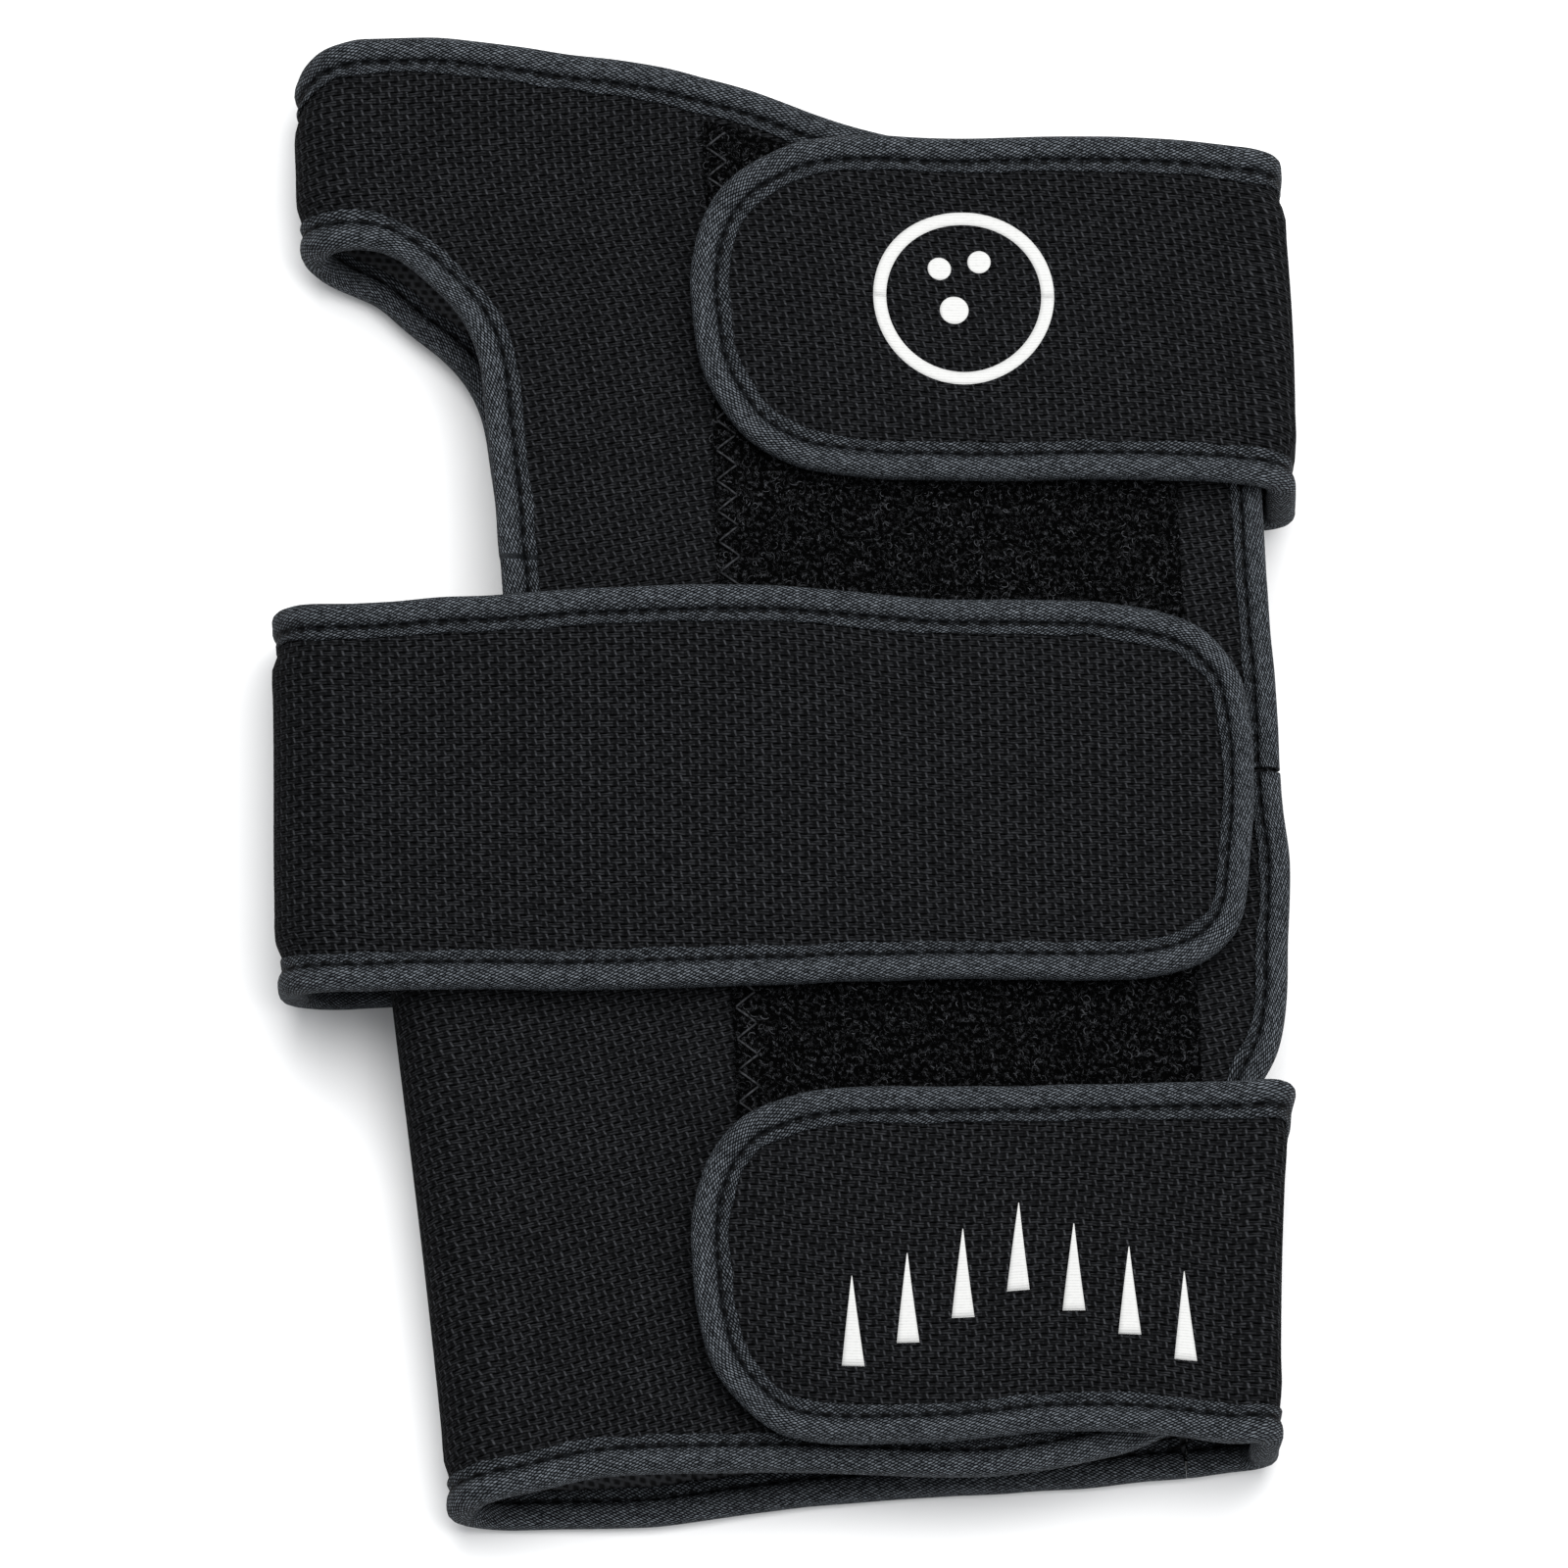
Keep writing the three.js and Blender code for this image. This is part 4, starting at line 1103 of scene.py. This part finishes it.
def loop_top(q):
    return front_top(q) - TAPE_WIDTH - 2 * CLEARANCE


def loop_place(share, y):
    """A place on the field, share of the way across it."""
    x = loop_middle_x(y) + LOOP_WIDTH * (share - 0.5)
    return BODY_WRAP.over(x, y)


def build_loop_field():
    """The field's sheet, its curled threads and the zigzag along its left edge."""
    bottom = mix(strap_low(FOREARM), strap_high(FOREARM), LOOP_END)
    shares = np.linspace(0, 1, LOOP_COLUMNS)
    tops = loop_top(loop_place(shares, SHEET_TOP))
    y = mix(bottom, tops[:, None], np.linspace(0, 1, LOOP_ROWS)[None])
    q = loop_place(shares[:, None], y)
    half = np.full(q.shape, LOOP_SHEET / 2)
    uneven = half[1:-1, 1:-1]
    uneven += np.random.default_rng(11).uniform(-0.06, 0.1, uneven.shape)
    lifted = BODY_WRAP.offset(LAMINATE / 2 + CLEARANCE + 0.2)
    pile = ply_object("loop_pile", lifted, q, y, half, [MATERIALS["pile"], MATERIALS["pile"]])
    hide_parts("loop_field")
    made = [pile]
    upper = (strap_high(WRIST) - 3, strap_high(HAND) + 8)
    lower = (strap_high(FOREARM) - 3, strap_low(WRIST) + 3)
    zones = {"upper": upper, "upper_more": upper, "lower": lower}
    for k, (name, zone) in enumerate(zones.items()):
        curls = mesh_object("loop_curls_" + name, *loop_curls(zone, 21 + k), [MATERIALS["curl"]])
        made.append(curls)
    sewn = mesh_object("loop_zigzag", *loop_zigzag(bottom), [MATERIALS["zigzag"]])
    return [*made, sewn]


def under_strap(q, y):
    """Whether the hand strap hides this place of the front ply from above."""
    x, margin = BODY_WRAP.start_x(y) + q, 3.0
    inside = (y > strap_low(HAND) + margin) & (y < strap_high(HAND) - margin)
    return inside & (x > HAND["end"] + 16)


def loop_curls(zone, seed):
    """Curled threads standing in the pile, each at a place and with a bend of its own."""
    rng = np.random.default_rng(seed)
    tries = CURLS_IN_ZONE * 4
    y = rng.uniform(*zone, tries)
    q = loop_place(rng.uniform(-0.002, 1.002, tries), y)
    keep = (y < loop_top(q) - 0.4) & ~under_strap(q, y)
    q, y = q[keep][:CURLS_IN_ZONE, None], y[keep][:CURLS_IN_ZONE, None]

    def drawn(low, high):
        return rng.uniform(low, high, q.shape)

    turn, radius = drawn(0, 2 * math.pi), drawn(*CURL_RADIUS)
    tilt = drawn(*CURL_TILT) * rng.choice([-1, 1], q.shape)
    share = np.linspace(0, 1, CURL_POINTS)[None]
    bend = share * drawn(*CURL_SWEEP)
    side, rise = radius * (1 - np.cos(bend)), radius * np.sin(bend)
    beside = rise * np.sin(tilt) + share * drawn(-0.7, 0.7)
    h = CURL_FOOT + np.abs(rise * np.cos(tilt)) + drawn(-0.1, 0.35)
    dq = side * np.cos(turn) - beside * np.sin(turn)
    dy = side * np.sin(turn) + beside * np.cos(turn)
    centres = BODY_WRAP.place(q + dq, y + dy, h)
    ups = np.broadcast_to(np.array([0.31, 0.17, 0.93]), centres.shape)
    return tubes(centres, ups, drawn(*CURL_THREAD), 3)


def zigzag(knots, sides, q_of, thread, face=1):
    """A thread from side to side through knots along the body's cloth, on one of its faces."""
    height, swell, radius, count = thread
    side = np.where(np.arange(len(knots)) % 2 == 0, *sides)
    t = np.linspace(0.04, 0.96, count)[None]
    y = mix(knots[:-1, None], knots[1:, None], t)
    q = q_of(y) + mix(side[:-1, None], side[1:, None], t)
    h = face * (height + swell * np.sin(math.pi * t) + 0 * y)
    return tubes(BODY_WRAP.place(q, y, h), BODY_WRAP.normal(q, y, h), radius, 6)


def loop_zigzag(bottom):
    """The thread that sews the field's left edge down."""
    top = loop_top(loop_place(0.02, SHEET_TOP)) - 1
    count = int((top - bottom) / (ZIGZAG_PERIOD / 2))
    knots = bottom + np.arange(count + 1) * ZIGZAG_PERIOD / 2
    return zigzag(knots, (0.4, 0.4 + ZIGZAG_WIDTH), lambda y: loop_place(0.0, y), FIELD_THREAD)


# Straps

BEND_COLUMNS, END_COLUMNS, STRAP_ROWS, PATCH_ROWS = 29, 26, 30, 14
UNDER_PITCH, STRAIGHT_PITCH, END_PITCH = 2.0, 1.9, 0.4


def strap_columns(strap, wrap, under, end_x):
    """Columns of a strap as (way along at a given y, low share, high share), and its end's line."""
    tip, length = np.array(strap["tip"], float), wrap.fold_length
    outline = np.vstack([tip[:, [0, 1]], tip[::-1][:, [0, 2]]])
    scale = np.array([strap["round"], strap["width"] - 2 * TAPE_SET])
    line = even_line(outline * scale, END_PITCH) / scale
    nose = int(np.argmin(line[:, 0]))
    end_q = lambda y, back: wrap.over(end_x, y) - back * strap["round"]
    ways = [*np.linspace(-length - under, -length, max(int(under / UNDER_PITCH), 4) + 1)]
    ways += [*np.linspace(-length, 0, BEND_COLUMNS)[1:]]
    columns = [(lambda y, a=at: a + 0 * y, 0.0, 1.0) for at in ways]
    straight = wrap.over(end_x, 0.0) - strap["round"]
    for share in np.linspace(0, 1, max(int(straight / STRAIGHT_PITCH), 8))[1:-1]:
        columns.append((lambda y, s=share: end_q(y, 1) * s, 0.0, 1.0))
    for back in 1 - np.sin(np.linspace(0, math.pi / 2, END_COLUMNS)):
        low = np.interp(-back, -line[: nose + 1, 0], line[: nose + 1, 1])
        high = np.interp(back, line[nose:, 0], line[nose:, 1])
        columns.append((lambda y, b=back: end_q(y, b), low, high))
    return columns, line


def strap_edge(strap, wrap, under, end_x, line):
    """The tape's line, from the strap's start along its low side, round the end and back."""
    low, high = strap_cloth(strap)
    tip_y = mix(low, high, line[:, 1])
    tip_q = wrap.over(end_x, tip_y) - line[:, 0] * strap["round"]
    root = -wrap.fold_length - under
    points = [(q, low) for q in np.linspace(root, tip_q[0] - 1, 40)]
    points += list(zip(tip_q, tip_y))
    points += [(q, high) for q in np.linspace(tip_q[-1] - 1, root, 40)]
    return Edge(wrap, points, upright=0.78 if strap is WRIST else 0.97)


def build_strap(strap, under, end_x, grain, seed):
    """A strap with its tape and hooks; under is the length of its start below the fold."""
    name, wrap = strap["name"], strap["wrap"]
    columns, line = strap_columns(strap, wrap, under, end_x)
    low, high = strap_cloth(strap)
    rows = np.linspace(0, 1, STRAP_ROWS)
    y = np.array([mix(low, high, mix(a, b, rows)) for _, a, b in columns])
    q = np.array([q_of(row) for (q_of, _, _), row in zip(columns, y)])
    edge = strap_edge(strap, wrap, under, end_x, line)
    depth = fit_inside(q, y, [edge])
    half, bulge = half_thickness(depth), fold_bulge(wrap, q, depth)
    cloth = [MATERIALS["cloth"], MATERIALS["lining"]]
    ply = ply_object(name + "_laminate", wrap, q, y, half, cloth, None, grain, bulge)
    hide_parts(name)
    trims = bound_edge(name + "_tape", name + "_binding", edge, seed)
    trims.append(hook_patch(strap, wrap, end_x))
    length = (under + wrap.fold_length + wrap.over(end_x, 0.0)) * MM


def hook_patch(strap, wrap, end_x):
    """The hook sheet under a strap's free end."""
    margin = TAPE_WIDTH + HOOK_MARGIN
    rows = np.linspace(strap_low(strap) + margin, strap_high(strap) - margin, PATCH_ROWS)
    back = np.linspace(HOOK_INSET + HOOK_LENGTH, HOOK_INSET, PATCH_ROWS)
    y = np.tile(rows, (PATCH_ROWS, 1))
    q = wrap.over(end_x, y) - back[:, None]
    lower = wrap.offset(-LAMINATE / 2 - CLEARANCE - HOOK_SHEET / 2)
    half = np.full(q.shape, HOOK_SHEET / 2)
    name = strap["name"] + "_hooks"
    patch = ply_object(name, lower, q, y, half, [MATERIALS["hook"], MATERIALS["hook"]])
    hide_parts(strap["name"] + "_hook_patch")
    return patch


def build_seams():
    """Zigzag stitches over the butted joint of the hand and forearm straps with the palm ply."""
    threads = []
    for strap, askew in ((HAND, HAND_ASKEW), (FOREARM, FOREARM_ASKEW)):
        low, high = strap_low(strap) - askew + SEAM_REACH, strap_high(strap) - askew - SEAM_REACH
        knots = np.linspace(low, high, int((high - low) / SEAM_PITCH) + 1)
        q_of = lambda y: BODY_WRAP.under(palm_edge_x(y), y)
        for face in (1, -1):
            threads.append(zigzag(knots, (-SEAM_REACH, SEAM_REACH), q_of, SEAM_THREAD, face))
    sewn = mesh_object("palm_seams", *joined(threads), [MATERIALS["thread"]])
    return [sewn]


# Prints: a ring with three holes, and a row of lane arrows


def decal(name, wrap, shapes):
    """Thin ink lying on a strap's cloth; each shape is a grid of (x, y) places."""
    spots, uvs = [], []
    for shape in shapes:
        x, y = shape[..., 0], shape[..., 1]
        q = wrap.over(x, y)
        spots.append(closed_sheet(wrap.place(q, y, INK_TOP), wrap.place(q, y, INK_FOOT)))
        uvs += [np.stack([q, y], axis=-1).reshape(-1, 2)] * 2
    ink = mesh_object(name, *joined(spots), [MATERIALS["ink"]], np.vstack(uvs))


def ring_shapes(x, y, outer, inner):
    """A ring in two halves."""
    halves = []
    for start in (0.0, math.pi):
        angle = np.linspace(start, start + math.pi, 41)[:, None]
        radius = np.linspace(inner, outer, 4)[None]
        halves.append(np.stack([x + radius * np.cos(angle), y + radius * np.sin(angle)], axis=-1))
    return halves


def disc_shape(x, y, radius):
    """A round spot as a bent square grid."""
    side = np.linspace(-1, 1, 9)
    a, b = np.meshgrid(side, side, indexing="ij")
    return np.stack(
        [x + radius * a * np.sqrt(1 - b * b / 2), y + radius * b * np.sqrt(1 - a * a / 2)], axis=-1
    )


def arrow_shape(x, y, width, height):
    """A slim triangle pointing along the glove."""
    up = np.linspace(0, 1, 12)[None]
    across = np.linspace(-0.5, 0.5, 5)[:, None]
    taper = mix(1.0, 0.03, up)
    return np.stack(np.broadcast_arrays(x + width * across * taper, y + height * up), axis=-1)


def build_prints():
    """A ball's ring with its three holes, and seven arrows in a fan."""
    x, y = BALL["x"], BALL["y"]
    ball = ring_shapes(x, y, BALL["outer"], BALL["inner"])
    ball += [disc_shape(x + across, y + along, radius) for across, along, radius in BALL_HOLES]
    decal("ball_print", HAND_WRAP, ball)
    x, y, size = ARROWS["x"], ARROWS["y"], (ARROWS["width"], ARROWS["height"])
    arrows = [
        arrow_shape(x + ARROWS["step"] * k, y - ARROWS["drop"] * abs(k), *size) for k in range(-3, 4)
    ]
    decal("arrows_print", FOREARM_WRAP, arrows)


# Stage


def build_stage():
    bpy.ops.mesh.primitive_plane_add(size=FLOOR_SIZE, location=(0, 0, 0))
    floor = bpy.context.object
    floor.name = "floor"
    floor.data.materials.append(floor_paint())
    world = bpy.data.worlds.new("studio")
    bpy.context.scene.world = world
    world.use_nodes = True
    sky = world.node_tree.nodes["Background"].inputs
    sky[0].default_value, sky[1].default_value = SKY, SKY_POWER
    for name, (place, size, power) in LIGHTS.items():
        light = bpy.data.lights.new(name, "AREA")
        light.size, light.energy = size, power
        stand(name, light, Vector(place), Vector((0, 0, 0)))


def stand(name, data, place, target):
    """A light or camera at a place, looking at a target."""
    made = bpy.data.objects.new(name, data)
    made.location = place
    made.rotation_mode = "QUATERNION"
    made.rotation_quaternion = (target - place).to_track_quat("-Z", "Y")
    bpy.context.scene.collection.objects.link(made)
    return made


def build_camera():
    camera = bpy.data.cameras.new("camera")
    camera.lens = CAMERA["lens"]
    target, rise = Vector(CAMERA["aim"]), math.radians(CAMERA["rise"])
    place = target + Vector((0, -math.cos(rise), math.sin(rise))) * CAMERA["away"]
    bpy.context.scene.camera = stand("camera", camera, place, target)
    bpy.context.scene.view_settings.view_transform = "Standard"


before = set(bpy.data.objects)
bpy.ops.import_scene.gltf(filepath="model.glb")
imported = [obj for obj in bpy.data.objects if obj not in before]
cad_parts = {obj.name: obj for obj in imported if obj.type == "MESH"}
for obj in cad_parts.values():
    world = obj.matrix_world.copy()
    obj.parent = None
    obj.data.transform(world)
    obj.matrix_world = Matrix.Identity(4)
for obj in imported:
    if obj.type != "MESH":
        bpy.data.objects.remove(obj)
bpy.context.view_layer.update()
MATERIALS = {
    "cloth": woven_cloth(),
    "lining": mesh_lining(),
    "tape": tape_cloth(),
    "pile": pile_cloth(),
    "curl": curl_thread(),
    "hook": hook_cloth(),
    "thread": sewing_thread("black_thread", 0.0008, 0.005),
    "zigzag": sewing_thread("zigzag_thread", 0.004, 0.05),
    "ink": print_ink(),
}
build_stage()
build_body()
TO_SEAM = SEAM_INSET - CLEARANCE
build_strap(HAND, TO_SEAM, HAND["end"] + TAPE_SET, HAND_GRAIN, 100)
build_strap(WRIST, WRIST_UNDER, WRIST["end"] - TAPE_SET, WRIST_GRAIN, 200)
build_strap(FOREARM, TO_SEAM, FOREARM["end"] + TAPE_SET, FOREARM_GRAIN, 300)
build_prints()
build_camera()
